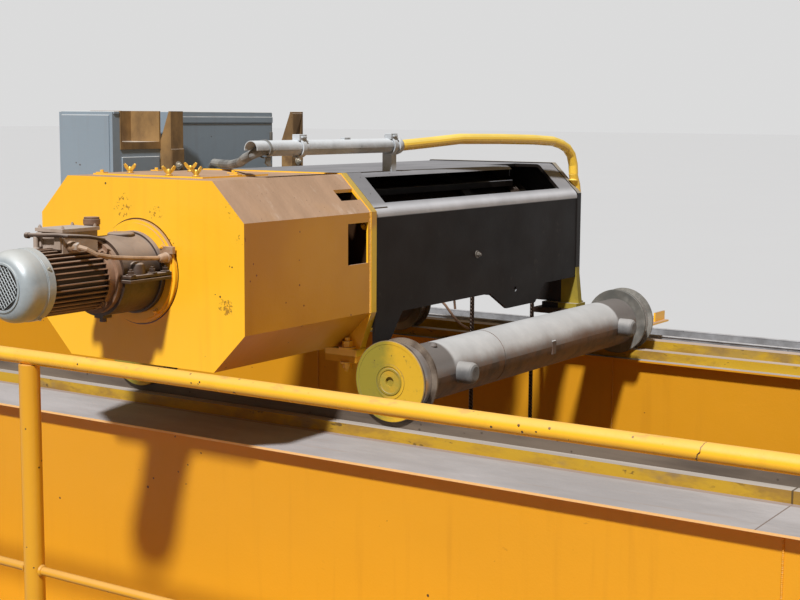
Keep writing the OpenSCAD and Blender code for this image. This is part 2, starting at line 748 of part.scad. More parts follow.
// Yellow posts on the left axle beam that carry the cabinets, and the box in their recess
module cabinet_frame() {
    low = cabinet_top - recess_high;
    color(yellow) on_trolley() {
        difference() {
            for (y = post_y)
                across(y, y + post_deep)
                    polygon([[cab_x + seam, axle_z + 40], [cab_x + post_w, axle_z + 40],
                        [cab_x + post_w, cabinet_top + 4], [cab_x + post_w - 8, cabinet_top + 4],
                        [cab_x + seam, cabinet_top - 90]]);
            bar_y(-wheel_x, axle_z, -beam_end, beam_end, beam_d + 2 * seam, 96);
        }
        difference() {
            block([cab_x - 120, recess[0] + seam, low + seam], [cab_x + 3, recess[1], cabinet_top + 4]);
            block([cab_x - 114, recess[0] + 6, low + 22], [cab_x + 4, recess[1] - 6, cabinet_top + 5]);
        }
    }
}

// Two cabinets with a recess between them
module control_cabinets() {
    back = cab_x - cabinet_depth;
    low = cabinet_top - cabinet_height;
    second = post_y[0] + post_deep;
    color(blue_grey) on_trolley() {
        block([back, cabinets_front, low], [cab_x, recess[0], cabinet_top]);
        block([back, recess[0], low], [cab_x, second, cabinet_top - recess_high]);
        block([back, second, low], [cab_x, cabinets_rear, cabinet_top]);
    }
}

// Rubber buffers with rounded ends on the axle beams' outer sides
module trolley_buffers() {
    long = buffer_len + 8;
    color(rubber) on_trolley() difference() {
        for (sx = [-1, 1], y = [buffer_front, buffer_rear])
            translate([sx * (wheel_x + beam_r - 8), y, axle_z]) rotate([0, 90 * sx, 0])
                rotate_extrude($fn = 48) polygon([[0, 0], [buffer_r, 0], [buffer_r, long - 14],
                    [buffer_r - 1.5, long - 8], [buffer_r - 5, long - 3], [buffer_r - 11, long], [0, long]]);
        for (sx = [-1, 1])
            bar_y(sx * wheel_x, axle_z, -beam_end, beam_end, beam_d + 2 * seam, 96);
    }
}

// Arm from the right axle pin that leads the cable along the tray
module tow_arm() {
    y0 = half_gauge + wheel_w / 2;
    color(yellow) on_trolley() {
        bar_y(wheel_x, axle_z, y0, y0 + 8, 60);
        block([wheel_x - 34, y0 + 8, 60], [wheel_x + 34, y0 + 14, axle_z + 32]);
        block([wheel_x - 34, y0 + 8, 54], [wheel_x + 34, tray_in + 20, 60]);
        block([wheel_x + 12, y0 + 230, 60], [wheel_x + 18, tray_in + 20, 92]);
    }
}

fall_x = drum_r;
fall_y = [119, 527];
sheave_y = (fall_y[0] + fall_y[1]) / 2;
sheave_r = (fall_y[1] - fall_y[0]) / 2;
sheave_z = -460;

// Rope: two taut falls from the drum, joined by the turn round the sheave
module hoist_ropes() {
    color(dark) on_trolley() {
        for (y = fall_y)
            translate([fall_x, y, sheave_z]) cylinder(h = hoist_mid - sheave_z, d = rope_d, $fn = 24);
        translate([fall_x, sheave_y, sheave_z]) rotate([0, 90, 0]) rotate([0, 0, -90])
            rotate_extrude(angle = 180, $fn = 96) translate([sheave_r, 0]) circle(d = rope_d, $fn = 24);
    }
}

// Two cheek plates, the sheave's pin and the block the hook hangs from
module hook_block() {
    color(yellow) on_trolley() translate([fall_x, sheave_y, sheave_z]) {
        for (s = [-1, 1]) translate([s * 36 - 6, 0, 0]) {
            rotate([0, 90, 0]) cylinder(h = 12, r = sheave_r + 26, $fn = 96);
            rotate([90, 0, 90]) linear_extrude(height = 12)
                polygon([[-200, -100], [200, -100], [90, -300], [-90, -300]]);
        }
        rotate([0, 90, 0]) cylinder(h = 92, d = 60, center = true, $fn = 48);
        block([-30, -60, -296], [30, 60, -248]);
    }
}

// Grooved sheave that the rope turns round
module hook_sheave() {
    color(steel) on_trolley() translate([fall_x, sheave_y, sheave_z])
        rotate([0, 90, 0]) rotate_extrude($fn = 96) polygon([
            [30.3, -26], [60, -26], [60, -8], [150, -8], [sheave_r - 30, -16], [sheave_r + 10, -16],
            [sheave_r - rope_d / 2 - 0.3, -5], [sheave_r - rope_d / 2 - 0.3, 5], [sheave_r + 10, 16],
            [sheave_r - 30, 16], [150, 8], [60, 8], [60, 26], [30.3, 26]]);
}

module lifting_hook() {
    color(steel) on_trolley() translate([fall_x, sheave_y, sheave_z - 296]) {
        translate([0, 0, -20]) cylinder(h = 20, d = 60, $fn = 36);
        translate([0, 0, -40]) cylinder(h = 30, d = 40, $fn = 36);
        translate([0, 0, -92]) rotate([90, 0, 0]) difference() {
            cylinder(h = 36, r = 62, center = true, $fn = 64);
            cylinder(h = 46, r = 34, center = true, $fn = 64);
            translate([-80, -8, -23]) cube([80, 46, 46]);
        }
    }
}

front_girder();
rear_girder();
front_rail_base();
front_rail();
rear_rail();
end_carriages();
travel_wheels();
travel_drives();
end_carriage_buffers();
trolley_stops();
walkway_floor();
walkway_brackets();
railing_posts();
handrail();
knee_rail();
cable_tray();
guide_bar();
axle_beams();
front_saddle_plate();
rear_saddle_plate();
gear_housing();
housing_cover();
drum_frame();
rope_drum();
adapter_plate();
bell_housing();
hoist_motor();
fan_cowl();
terminal_box();
motor_cable();
conduit_pipe();
conduit_hose();
bent_tube();
cabinet_frame();
control_cabinets();
trolley_buffers();
tow_arm();
hoist_ropes();
hook_block();
hook_sheave();
lifting_hook();
trolley_wheel(-1, -1);  // front_left_wheel
trolley_wheel(1, -1);  // front_right_wheel
trolley_wheel(-1, 1);  // rear_left_wheel
trolley_wheel(1, 1);  // rear_right_wheel
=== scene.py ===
"""Looks of the overhead bridge crane: finishes for its CAD solids and the small pieces on them."""

import sys

import json
import math

import bmesh
import bpy
from bpy.props import FloatProperty, FloatVectorProperty, IntProperty, PointerProperty
from mathutils import Matrix, Vector
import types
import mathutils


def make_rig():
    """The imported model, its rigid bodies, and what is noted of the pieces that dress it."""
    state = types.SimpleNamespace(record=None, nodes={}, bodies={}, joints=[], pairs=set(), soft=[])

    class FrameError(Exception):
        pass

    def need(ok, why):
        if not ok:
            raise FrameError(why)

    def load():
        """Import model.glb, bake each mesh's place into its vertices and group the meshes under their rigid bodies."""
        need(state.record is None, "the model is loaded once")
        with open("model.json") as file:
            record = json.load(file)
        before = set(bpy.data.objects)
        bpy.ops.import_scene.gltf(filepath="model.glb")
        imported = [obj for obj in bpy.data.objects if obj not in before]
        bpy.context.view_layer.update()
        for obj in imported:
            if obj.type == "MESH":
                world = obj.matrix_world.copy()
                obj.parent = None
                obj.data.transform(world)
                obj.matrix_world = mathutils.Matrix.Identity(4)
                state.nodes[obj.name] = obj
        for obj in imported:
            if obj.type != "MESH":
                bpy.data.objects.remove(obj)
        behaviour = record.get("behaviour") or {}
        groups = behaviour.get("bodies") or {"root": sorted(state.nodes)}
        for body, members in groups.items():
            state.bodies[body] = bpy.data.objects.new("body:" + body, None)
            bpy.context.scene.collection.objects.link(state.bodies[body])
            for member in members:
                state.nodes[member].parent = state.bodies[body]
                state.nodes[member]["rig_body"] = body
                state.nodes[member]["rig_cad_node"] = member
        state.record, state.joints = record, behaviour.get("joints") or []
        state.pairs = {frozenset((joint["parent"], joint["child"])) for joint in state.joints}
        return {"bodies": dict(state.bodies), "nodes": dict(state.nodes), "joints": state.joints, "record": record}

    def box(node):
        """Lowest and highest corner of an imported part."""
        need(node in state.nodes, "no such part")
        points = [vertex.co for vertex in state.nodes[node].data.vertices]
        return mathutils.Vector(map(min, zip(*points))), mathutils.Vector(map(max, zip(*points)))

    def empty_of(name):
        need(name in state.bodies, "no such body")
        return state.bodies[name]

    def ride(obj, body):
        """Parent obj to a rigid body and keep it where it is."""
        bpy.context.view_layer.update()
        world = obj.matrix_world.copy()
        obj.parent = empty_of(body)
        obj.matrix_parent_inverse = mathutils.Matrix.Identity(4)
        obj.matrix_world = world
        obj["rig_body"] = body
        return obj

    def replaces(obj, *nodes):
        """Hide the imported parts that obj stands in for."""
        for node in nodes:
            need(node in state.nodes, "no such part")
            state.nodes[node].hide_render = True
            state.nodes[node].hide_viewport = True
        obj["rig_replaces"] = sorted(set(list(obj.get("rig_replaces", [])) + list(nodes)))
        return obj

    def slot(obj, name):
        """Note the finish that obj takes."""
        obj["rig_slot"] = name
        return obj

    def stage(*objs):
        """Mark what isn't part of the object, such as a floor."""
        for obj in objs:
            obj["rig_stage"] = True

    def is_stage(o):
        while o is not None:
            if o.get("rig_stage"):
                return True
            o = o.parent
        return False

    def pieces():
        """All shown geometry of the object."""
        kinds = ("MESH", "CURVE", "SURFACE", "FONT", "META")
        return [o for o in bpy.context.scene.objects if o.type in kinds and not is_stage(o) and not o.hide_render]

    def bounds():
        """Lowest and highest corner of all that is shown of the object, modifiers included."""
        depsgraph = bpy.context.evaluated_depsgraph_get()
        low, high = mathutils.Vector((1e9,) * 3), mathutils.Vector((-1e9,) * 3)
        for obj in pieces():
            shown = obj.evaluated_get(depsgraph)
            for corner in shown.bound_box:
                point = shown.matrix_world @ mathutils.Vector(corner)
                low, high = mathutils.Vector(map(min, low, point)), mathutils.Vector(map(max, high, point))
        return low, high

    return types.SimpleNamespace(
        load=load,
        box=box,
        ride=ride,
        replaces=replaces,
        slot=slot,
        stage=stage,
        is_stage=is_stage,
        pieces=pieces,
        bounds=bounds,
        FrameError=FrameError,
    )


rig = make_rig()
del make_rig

bl_info = {
    "name": "Overhead Bridge Crane Looks",
    "version": (1, 0, 0),
    "blender": (4, 5, 0),
    "location": "View3D > Sidebar > Crane",
    "description": "Finishes and small pieces for a double girder crane and its hoist trolley",
    "category": "Object",
}

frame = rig.load()
CAD_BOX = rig.bounds()

X_AXIS, Y_AXIS, Z_AXIS = 0, 1, 2


def face(node, axis, end):
    """The low (end 0) or high (end 1) face of a CAD solid's box, to a tenth of a millimetre."""
    return round(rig.box(node)[end][axis] * 1000, 1)


def middle(node, axis):
    """The middle of a CAD solid's box, to a tenth of a millimetre."""
    return round((face(node, axis, 0) + face(node, axis, 1)) / 2, 1)


# Sizes below are in millimetres. The trolley's own frame starts at its middle,
# between the rails, at the rail's top
RAIL_TOP = face("front_rail", Z_AXIS, 1)
TROLLEY = Vector((middle("gear_housing", X_AXIS), 0.0, RAIL_TOP))
BRIDGE = Vector((0.0, 0.0, 0.0))
HOUSING_FRONT, SADDLE_FRONT = face("gear_housing", Y_AXIS, 0), face("gear_housing", Y_AXIS, 1)
FRAME_FRONT, FRAME_REAR = face("drum_frame", Y_AXIS, 0), face("drum_frame", Y_AXIS, 1)
HOIST_MID, HOIST_TOP = middle("gear_housing", Z_AXIS) - RAIL_TOP, face("gear_housing", Z_AXIS, 1) - RAIL_TOP
HOIST_SIDE = face("gear_housing", X_AXIS, 1) - TROLLEY[0]
BELL_FRONT, MOTOR_FRONT = face("bell_housing", Y_AXIS, 0), face("fan_cowl", Y_AXIS, 1)
COWL_FRONT, COWL_RADIUS = face("fan_cowl", Y_AXIS, 0), 85.0
LID_REACH, LID_THICK = 4.0, 8.0
BOX_FRONT = face("terminal_box", Y_AXIS, 0) + LID_REACH
BOX_TOP = face("terminal_box", Z_AXIS, 1) - RAIL_TOP - LID_THICK
AXLE_Z, HALF_GAUGE = middle("front_left_wheel", Z_AXIS) - RAIL_TOP, middle("rear_rail", Y_AXIS)
WHEEL_X = (face("front_right_wheel", X_AXIS, 1) - face("front_left_wheel", X_AXIS, 1)) / 2
WHEEL_HALF = face("rear_left_wheel", Y_AXIS, 1) - HALF_GAUGE


def srgb(red, green, blue):
    """A colour given as 0 to 255 on screen, in the linear values that shaders use."""
    linear = [c / 255 / 12.92 if c <= 10 else ((c / 255 + 0.055) / 1.055) ** 2.4 for c in (red, green, blue)]
    return (*linear, 1.0)


class CraneColours(bpy.types.PropertyGroup):
    """Colours of the crane's main finishes."""

    cover: FloatVectorProperty(
        name="Cover yellow", description="Clean paint on the housing and the railing",
        subtype="COLOR", size=4, default=srgb(255, 193, 44), min=0, max=1)
    girder: FloatVectorProperty(
        name="Girder yellow", description="Paint on the girders and end carriages",
        subtype="COLOR", size=4, default=srgb(221, 156, 29), min=0, max=1)
    worn: FloatVectorProperty(
        name="Worn yellow", description="Dirty, worn yellow on the axle pins and the base bar",
        subtype="COLOR", size=4, default=srgb(184, 146, 34), min=0, max=1)
    black: FloatVectorProperty(
        name="Frame black", description="Paint on the drum frame",
        subtype="COLOR", size=4, default=srgb(21, 15, 12), min=0, max=1)
    grey: FloatVectorProperty(
        name="Beam grey", description="Dust grey of the axle beams",
        subtype="COLOR", size=4, default=srgb(190, 191, 192), min=0, max=1)
    cabinet: FloatVectorProperty(
        name="Cabinet blue-grey", description="Paint on the control cabinets",
        subtype="COLOR", size=4, default=srgb(138, 153, 166), min=0, max=1)
    dust: FloatVectorProperty(
        name="Pale dust", description="Dust on the flanges",
        subtype="COLOR", size=4, default=srgb(169, 168, 171), min=0, max=1)
    warm_dust: FloatVectorProperty(
        name="Warm dust", description="Dust on the gear housing",
        subtype="COLOR", size=4, default=srgb(178, 148, 124), min=0, max=1)


class CraneSizes(bpy.types.PropertyGroup):
    """Sizes of the small pieces."""

    bolts: FloatProperty(
        name="Bolt size", description="How much larger or smaller than real every bolt head is made",
        default=1.0, min=0.5, max=1.5)
    weld: FloatProperty(
        name="Weld bead", description="Radius of the ripples of a girder's weld bead",
        unit="LENGTH", default=0.0028, min=0.001, max=0.008)
    rope_pitch: FloatProperty(
        name="Rope pitch", description="Distance between two turns of rope on the drum",
        unit="LENGTH", default=0.0155, min=0.014, max=0.03)
    grille: FloatProperty(
        name="Grille radius", description="Radius of the fan cowl's grille",
        unit="LENGTH", default=0.052, min=0.03, max=0.056)
    grille_wires: IntProperty(
        name="Grille wires", description="Wires each way across the grille",
        default=13, min=7, max=25)


def colours():
    return bpy.context.scene.crane_colours


def sizes():
    return bpy.context.scene.crane_sizes


class Wire:
    """An output socket. Sums, products and comparisons on it add Math nodes."""

    def __init__(self, net, socket):
        self.net, self.socket = net, socket

    def _math(self, operation, first, second=None, third=None):
        given = {i: v for i, v in enumerate((first, second, third)) if v is not None}
        return self.net.node("ShaderNodeMath", {"operation": operation}, given)

    def __add__(self, other):
        return self._math("ADD", self, other)

    def __sub__(self, other):
        return self._math("SUBTRACT", self, other)

    def __rsub__(self, other):
        return self._math("SUBTRACT", other, self)

    def __mul__(self, other):
        return self._math("MULTIPLY", self, other)

    def __truediv__(self, other):
        return self._math("DIVIDE", self, other)

    def __gt__(self, other):
        return self._math("GREATER_THAN", self, other)

    def __lt__(self, other):
        return self._math("LESS_THAN", self, other)

    def __abs__(self):
        return self._math("ABSOLUTE", self)

    def __pow__(self, other):
        return self._math("POWER", self, other)

    def wave(self):
        return self._math("SINE", self)

    def most(self, other):
        return self._math("MAXIMUM", self, other)

    def part_of(self):
        """What is left above the whole number below."""
        return self._math("FRACT", self)

    def step(self, low, high):
        """0 below low, 1 above high, and smooth between."""
        return self.net.node(
            "ShaderNodeMapRange", {"interpolation_type": "SMOOTHSTEP"},
            {"Value": self, "From Min": low, "From Max": high})

    __radd__ = __add__
    __rmul__ = __mul__


class Net:
    """One node tree, filled node by node."""

    def __init__(self, tree):
        self.tree = tree

    def feed(self, socket, value):
        if isinstance(value, Wire):
            self.tree.links.new(value.socket, socket)
        else:
            socket.default_value = value

    def node(self, kind, settings=None, inputs=None, output=0):
        made = self.tree.nodes.new(kind)
        for name, value in (settings or {}).items():
            setattr(made, name, value)
        for name, value in (inputs or {}).items():
            self.feed(made.inputs[name], value)
        return Wire(self, made.outputs[output])


class Finish(Net):
    """A material: a Principled shader and the patterns that feed it."""

    def __init__(self, name, roughness=0.5, metallic=0.0):
        self.material = bpy.data.materials.new(name)
        self.material.use_nodes = True
        super().__init__(self.material.node_tree)
        self.tree.nodes.clear()
        out = self.tree.nodes.new("ShaderNodeOutputMaterial")
        self.shader = self.tree.nodes.new("ShaderNodeBsdfPrincipled")
        self.tree.links.new(self.shader.outputs[0], out.inputs["Surface"])
        self.shader.inputs["Roughness"].default_value = roughness
        self.shader.inputs["Metallic"].default_value = metallic
        self.spot = self.node("ShaderNodeTexCoord", output="Object")

    def place(self, axis):
        """The X, Y or Z place of a point, in metres."""
        return self.node("ShaderNodeSeparateXYZ", None, {0: self.spot}, axis)

    def facing(self, axis):
        """How far a surface faces along X, Y or Z, from -1 to 1."""
        normal = self.node("ShaderNodeNewGeometry", output="Normal")
        return self.node("ShaderNodeSeparateXYZ", None, {0: normal}, axis)

    def stretched(self, stretch):
        return self.node("ShaderNodeMapping", None, {"Vector": self.spot, "Scale": stretch})

    def noise(self, scale, detail=2.0, stretch=(1, 1, 1), rough=0.5):
        return self.node(
            "ShaderNodeTexNoise", None,
            {"Vector": self.stretched(stretch), "Scale": scale, "Detail": detail, "Roughness": rough})

    def cells(self, scale, stretch=(1, 1, 1)):
        """Distance from the nearest of many scattered points."""
        return self.node(
            "ShaderNodeTexVoronoi", None, {"Vector": self.stretched(stretch), "Scale": scale}, "Distance")

    def near(self, point, radius):
        """1 at a point of the trolley, given in millimetres, falling to 0 at a radius from it."""
        centre = tuple((Vector(point) + TROLLEY) / 1000)
        away = self.node("ShaderNodeVectorMath", {"operation": "DISTANCE"}, {0: self.spot, 1: centre},
                         "Value")
        return 1 - away.step(radius * 0.0003, radius / 1000)

    def mix(self, factor, first, second):
        made = self.tree.nodes.new("ShaderNodeMix")
        made.data_type = "RGBA"
        self.feed(made.inputs[0], factor)
        self.feed(made.inputs[6], tuple(first) if not isinstance(first, Wire) else first)
        self.feed(made.inputs[7], tuple(second) if not isinstance(second, Wire) else second)
        return Wire(self, made.outputs[2])

    def chips(self, scale=45.0, size=0.12, share=0.62):
        """Small scattered chips and specks, 0 or 1."""
        near = self.cells(scale) + self.noise(scale * 4, 2) * 0.12 - 0.06
        return (near < size) * (self.noise(scale / 6, 1) > share)

    def bump(self, height, depth, normal=None):
        given = {"Height": height, "Distance": depth, "Strength": 1.0}
        if normal is not None:
            given["Normal"] = normal
        return self.node("ShaderNodeBump", None, given)

    def use(self, colour=None, roughness=None, metallic=None, normal=None):
        given = {"Base Color": colour, "Roughness": roughness, "Metallic": metallic, "Normal": normal}
        for name, value in given.items():
            if value is not None:
                self.feed(self.shader.inputs[name], value)
        return self.material


FINISHES = {}


def finish(name):
    """The finish of that name, made the first time it is asked for."""
    if name not in FINISHES:
        FINISHES[name] = globals()["finish_" + name]()
    return FINISHES[name]


def painted(name, base, dust, dust_amount, gloss=0.36, grime=0.22, chip_share=0.62, marks=None, wiped=0.0):
    """Paint with uneven tone, run-down grime, chips, marks and dust on what faces up."""
    f = Finish(name)
    tone = f.noise(1.7, 3)
    colour = f.mix(tone.step(0.3, 0.7), [c * 0.93 for c in base[:3]] + [1], base)
    streak = f.noise(5.5, 4, (7, 7, 0.5)).step(0.5, 0.78) * f.noise(1.1, 2).step(0.35, 0.7)
    colour = f.mix(streak * grime, colour, srgb(112, 74, 26))
    smudge = f.noise(9, 5, rough=0.65).step(0.62, 0.8) * f.noise(1.9, 1).step(0.5, 0.66)
    colour = f.mix(smudge * (grime * 1.6), colour, srgb(96, 66, 22))
    colour = f.mix(f.chips(share=chip_share), colour, srgb(72, 52, 30))
    if marks:
        colour = marks(f, colour)
    up = f.facing(Z_AXIS).step(0.12, 0.55)
    cover = up * dust_amount * (f.noise(6, 4).step(0.05, 0.45) * 0.25 + 0.75)
    shade = f.noise(3.1, 5, (1, 3, 1), 0.6).step(0.34, 0.68)
    powder = f.mix(shade, [c * 0.8 for c in dust[:3]] + [1], dust)
    if wiped:
        powder = f.mix(f.noise(6, 6, (0.6, 1.8, 1), 0.66).step(0.54, 0.7) * wiped, powder,
                       srgb(216, 200, 186))
    specks = f.chips(70, 0.1, 0.56)
    colour = f.mix(cover, colour, f.mix(specks * 0.7, powder, srgb(70, 56, 46)))
    rough = f.noise(26, 3) * 0.14 + (gloss - 0.07) + cover * (0.86 - gloss)
    peel = f.bump(f.noise(210, 2) * 0.3 + f.noise(38, 2) * 0.7, 0.0006)
    return f.use(colour, rough, normal=f.bump(cover * f.noise(90, 3), 0.0008, peel))


def housing_marks(f, colour):
    """Stains round the adapter ring, the gap beside it, rust at the corners, grime and painted shade on the side
    sheets and undersides, and painted shade inside the housing.
    """
    x = f.place(X_AXIS) - TROLLEY[0] / 1000
    z = f.place(Z_AXIS) - (TROLLEY[2] + HOIST_MID) / 1000
    front = f.place(Y_AXIS) < (HOUSING_FRONT + 1) / 1000
    away = (x * x + z * z) ** 0.5
    fleck = f.noise(95, 4, rough=0.7)
    gap = (abs(away - 0.1335) < 0.0019) * front
    colour = f.mix(gap, colour, srgb(84, 48, 12))
    halo = f.near((288, HOUSING_FRONT, 330), 40)
    for px, pz, radius in ((-50, 560, 60), (60, 556, 46), (108, 468, 40), (306, 566, 44), (330, 500, 30)):
        halo = halo.most(f.near((px, HOUSING_FRONT, pz), radius) * 0.72)
    stain = (halo * 0.3 + fleck).step(0.75, 0.82)
    colour = f.mix(stain * 0.7, colour, srgb(110, 72, 26))
    # Side sheets and undersides turn dark orange: partly grime, partly painted shade
    film = (abs(f.facing(X_AXIS)).step(0.3, 0.9) * 0.68).most((f.facing(Z_AXIS) * -1.0).step(0.2, 0.7) * 0.6)
    colour = f.mix(film * (f.noise(2.4, 3).step(0.2, 0.7) * 0.3 + 0.7), colour, srgb(134, 60, 4))
    # Faces turned inwards and the back of the front plate are painted dark brown: painted shade inside the housing
    inward = (f.facing(X_AXIS) * x + f.facing(Z_AXIS) * z < -0.02).most(
        (f.facing(Y_AXIS) > 0.5) * (f.place(Y_AXIS) < (HOUSING_FRONT + 20) / 1000))
    return f.mix(inward, colour, srgb(58, 36, 20))


def saddle_marks(f, colour):
    """Inside the housing, the plate is painted dark as painted shade; outside it, its edges are worn olive."""
    x = abs(f.place(X_AXIS) - TROLLEY[0] / 1000)
    z = abs(f.place(Z_AXIS) - (TROLLEY[2] + HOIST_MID) / 1000)
    front = f.facing(Y_AXIS) < -0.5
    # The front face inside the octagon is painted dark brown: painted shade inside the housing
    inside = (x < 0.338) * (z < 0.228) * (x + z < 0.474) * front
    colour = f.mix((1 - front) * 0.6, colour,
                   f.mix(f.noise(9, 4).step(0.4, 0.6), srgb(196, 176, 40), srgb(150, 104, 34)))
    return f.mix(inside, colour, srgb(52, 34, 20))


def finish_saddle():
    return painted("saddle_yellow", colours().cover, srgb(176, 156, 96), 0.7, gloss=0.33, grime=0.16,
                   marks=saddle_marks)


def finish_housing():
    return painted("housing_yellow", colours().cover, colours().warm_dust, 0.97, 0.33, 0.1,
                   marks=housing_marks,
                   wiped=0.5)


def finish_cover():
    return painted("cover_yellow", colours().cover, colours().warm_dust, 0.97, gloss=0.33, grime=0.1)


def railing_marks(f, colour):
    """A dark slanting joint in every bay, with worn paint along the top."""
    wander = f.noise(75, 3) * 0.016
    bay = ((f.place(X_AXIS) - f.place(Z_AXIS) * 0.4 + wander - 1.124) / 1.9 + 0.5).part_of() - 0.5
    worn = f.noise(22, 5, (0.4, 1, 1), 0.7).step(0.55, 0.64) * f.facing(Z_AXIS).step(0.2, 0.7)
    colour = f.mix(worn * 0.5, colour, srgb(150, 112, 70))
    return f.mix(abs(bay) < 0.0008, colour, srgb(66, 38, 16))


def finish_railing():
    return painted("railing_yellow", colours().cover, srgb(214, 176, 118), 0.45, gloss=0.28, grime=0.14,
                   chip_share=0.52,
                   marks=railing_marks)


def finish_post():
    return painted("post_yellow", srgb(222, 160, 34), srgb(196, 156, 100), 0.5, gloss=0.32, grime=0.14,
                   chip_share=0.6)


def finish_tube():
    return painted("tube_yellow", srgb(255, 210, 74), srgb(236, 214, 120), 0.7, gloss=0.28, grime=0.08,
                   chip_share=0.6)


def finish_girder():
    """Girder paint, with thick pale dust, drag marks and plate joints on the flange, painted shade beside the base bar
    and on the rear half, and a painted highlight on the flanges' outer edges.
    """
    f = Finish("girder_yellow")
    base = colours().girder
    tone = f.noise(0.55, 4, (1, 1, 1.6))
    colour = f.mix(tone.step(0.32, 0.68), [c * 0.9 for c in base[:3]] + [1], base)
    streak = f.noise(4.5, 4, (6, 6, 0.35)).step(0.5, 0.8) * f.noise(0.8, 2).step(0.4, 0.7)
    colour = f.mix(streak * 0.2, colour, srgb(150, 92, 20))
    scuff = f.noise(14, 5, (1, 1, 3), 0.7).step(0.66, 0.78) * f.noise(0.9, 1).step(0.52, 0.62)
    colour = f.mix(scuff * 0.4, colour, srgb(120, 76, 24))
    colour = f.mix(f.chips(26, 0.09, 0.64), colour, srgb(80, 56, 30))
    up = f.facing(Z_AXIS).step(0.5, 0.9)
    patch = f.noise(2.6, 6, (0.7, 2, 1), 0.62).step(0.36, 0.66)
    dust = colours().dust
    powder = f.mix(patch, [c * 0.76 for c in dust[:3]] + [1], dust)
    drag = f.noise(7, 4, (0.25, 5, 1)).step(0.6, 0.72) * f.noise(1.3, 2).step(0.45, 0.6)
    powder = f.mix(drag * 0.5, powder, srgb(150, 128, 112))
    scratch = f.noise(16, 3, (0.12, 3, 1), 0.7).step(0.66, 0.7) * f.noise(1.2, 2).step(0.5, 0.62)
    powder = f.mix(scratch * 0.7, powder, srgb(196, 190, 184))
    powder = f.mix(f.chips(30, 0.07, 0.66) * 0.8, powder, srgb(84, 70, 60))
    joint = abs(((f.place(X_AXIS) - 1.4935) / 6 + 0.5).part_of() - 0.5) < 0.0003
    powder = f.mix(joint, powder, srgb(116, 106, 102))
    # A darker strip on the flange at the base bar's foot: painted shade in the corner
    swept = (f.place(Y_AXIS) > -0.776) * (f.place(Y_AXIS) < -0.754)
    powder = f.mix(swept * 0.75, powder, srgb(136, 120, 114))
    # Everything on the rear half is a little darker: painted shade on the rear girder
    colour = f.mix((f.place(Y_AXIS) > 0) * 0.2, colour, srgb(150, 92, 20))
    colour = f.mix(up * 0.97, colour, powder)
    # The flanges' outer edge faces are painted pale tan: a painted highlight along the edge
    rim = (abs(f.place(Y_AXIS)) > 0.9985) * (f.place(Z_AXIS) > 0.915) * (1 - up)
    colour = f.mix(rim * 0.8, colour, srgb(238, 196, 140))
    rough = f.noise(20, 3) * 0.12 + 0.36 + up * 0.42
    peel = f.bump(f.noise(150, 2) * 0.25 + f.noise(9, 3) * 0.75, 0.0011)
    return f.use(colour, rough, normal=f.bump(up * f.noise(60, 4), 0.0012, peel))


def worn_bar(name, side, top, patchy):
    """A steel bar whose sides keep worn paint and whose top is pale with dust."""
    f = Finish(name)
    up = f.facing(Z_AXIS).step(0.5, 0.9)
    wear = f.noise(7, 5, (0.5, 2, 1.2), 0.65)
    colour = f.mix(wear.step(0.46, 0.66), side, srgb(146, 112, 46))
    bare = f.noise(3.2, 5, (0.6, 1, 1), 0.7).step(0.56, 0.66) * patchy
    colour = f.mix(bare, colour, srgb(120, 104, 84))
    flakes = f.noise(60, 4, (0.5, 1, 1.2)).step(0.62, 0.68) * f.noise(4, 2).step(0.45, 0.6)
    colour = f.mix(flakes * 0.85, colour, srgb(66, 52, 34))
    joint = abs(((f.place(X_AXIS) - 1.4915) / 6 + 0.5).part_of() - 0.5) < 0.0004
    powder = f.mix(f.noise(4, 4, (0.4, 6, 1)).step(0.36, 0.66), [c * 0.82 for c in top[:3]] + [1], top)
    colour = f.mix(up, colour, powder)
    colour = f.mix(joint * 0.85, colour, srgb(70, 54, 30))
    rough = f.noise(30, 3) * 0.16 + 0.46 + up * 0.2
    return f.use(colour, rough, normal=f.bump(wear + f.noise(120, 3) * 0.3, 0.001))


def finish_base_bar():
    return worn_bar("packing_bar", colours().worn, srgb(176, 168, 160), 0.7)


def finish_guide_bar():
    return worn_bar("guide_bar_paint", srgb(190, 152, 34), srgb(184, 168, 156), 0.4)


def finish_rail():
    """Front rail: grey-brown sides and a top polished and dusted by the wheels."""
    f = Finish("rail_steel")
    up = f.facing(Z_AXIS).step(0.5, 0.9)
    grain = f.noise(5, 5, (0.3, 3, 3), 0.6)
    colour = f.mix(grain.step(0.35, 0.7), srgb(108, 96, 84), srgb(70, 60, 52))
    colour = f.mix(f.chips(40, 0.14, 0.5) * 0.8, colour, srgb(60, 48, 40))
    band = 1 - abs(abs(f.place(Y_AXIS)) - HALF_GAUGE / 1000).step(0.007, 0.016)
    top = f.mix(band * 0.6, srgb(196, 190, 186), srgb(206, 204, 206))
    colour = f.mix(up, colour, top)
    metal = up * band * 0.55
    rough = 0.62 - metal * 0.45 + f.noise(40, 3, (0.2, 2, 1)) * 0.12
    return f.use(colour, rough, metal, f.bump(grain, 0.0008))


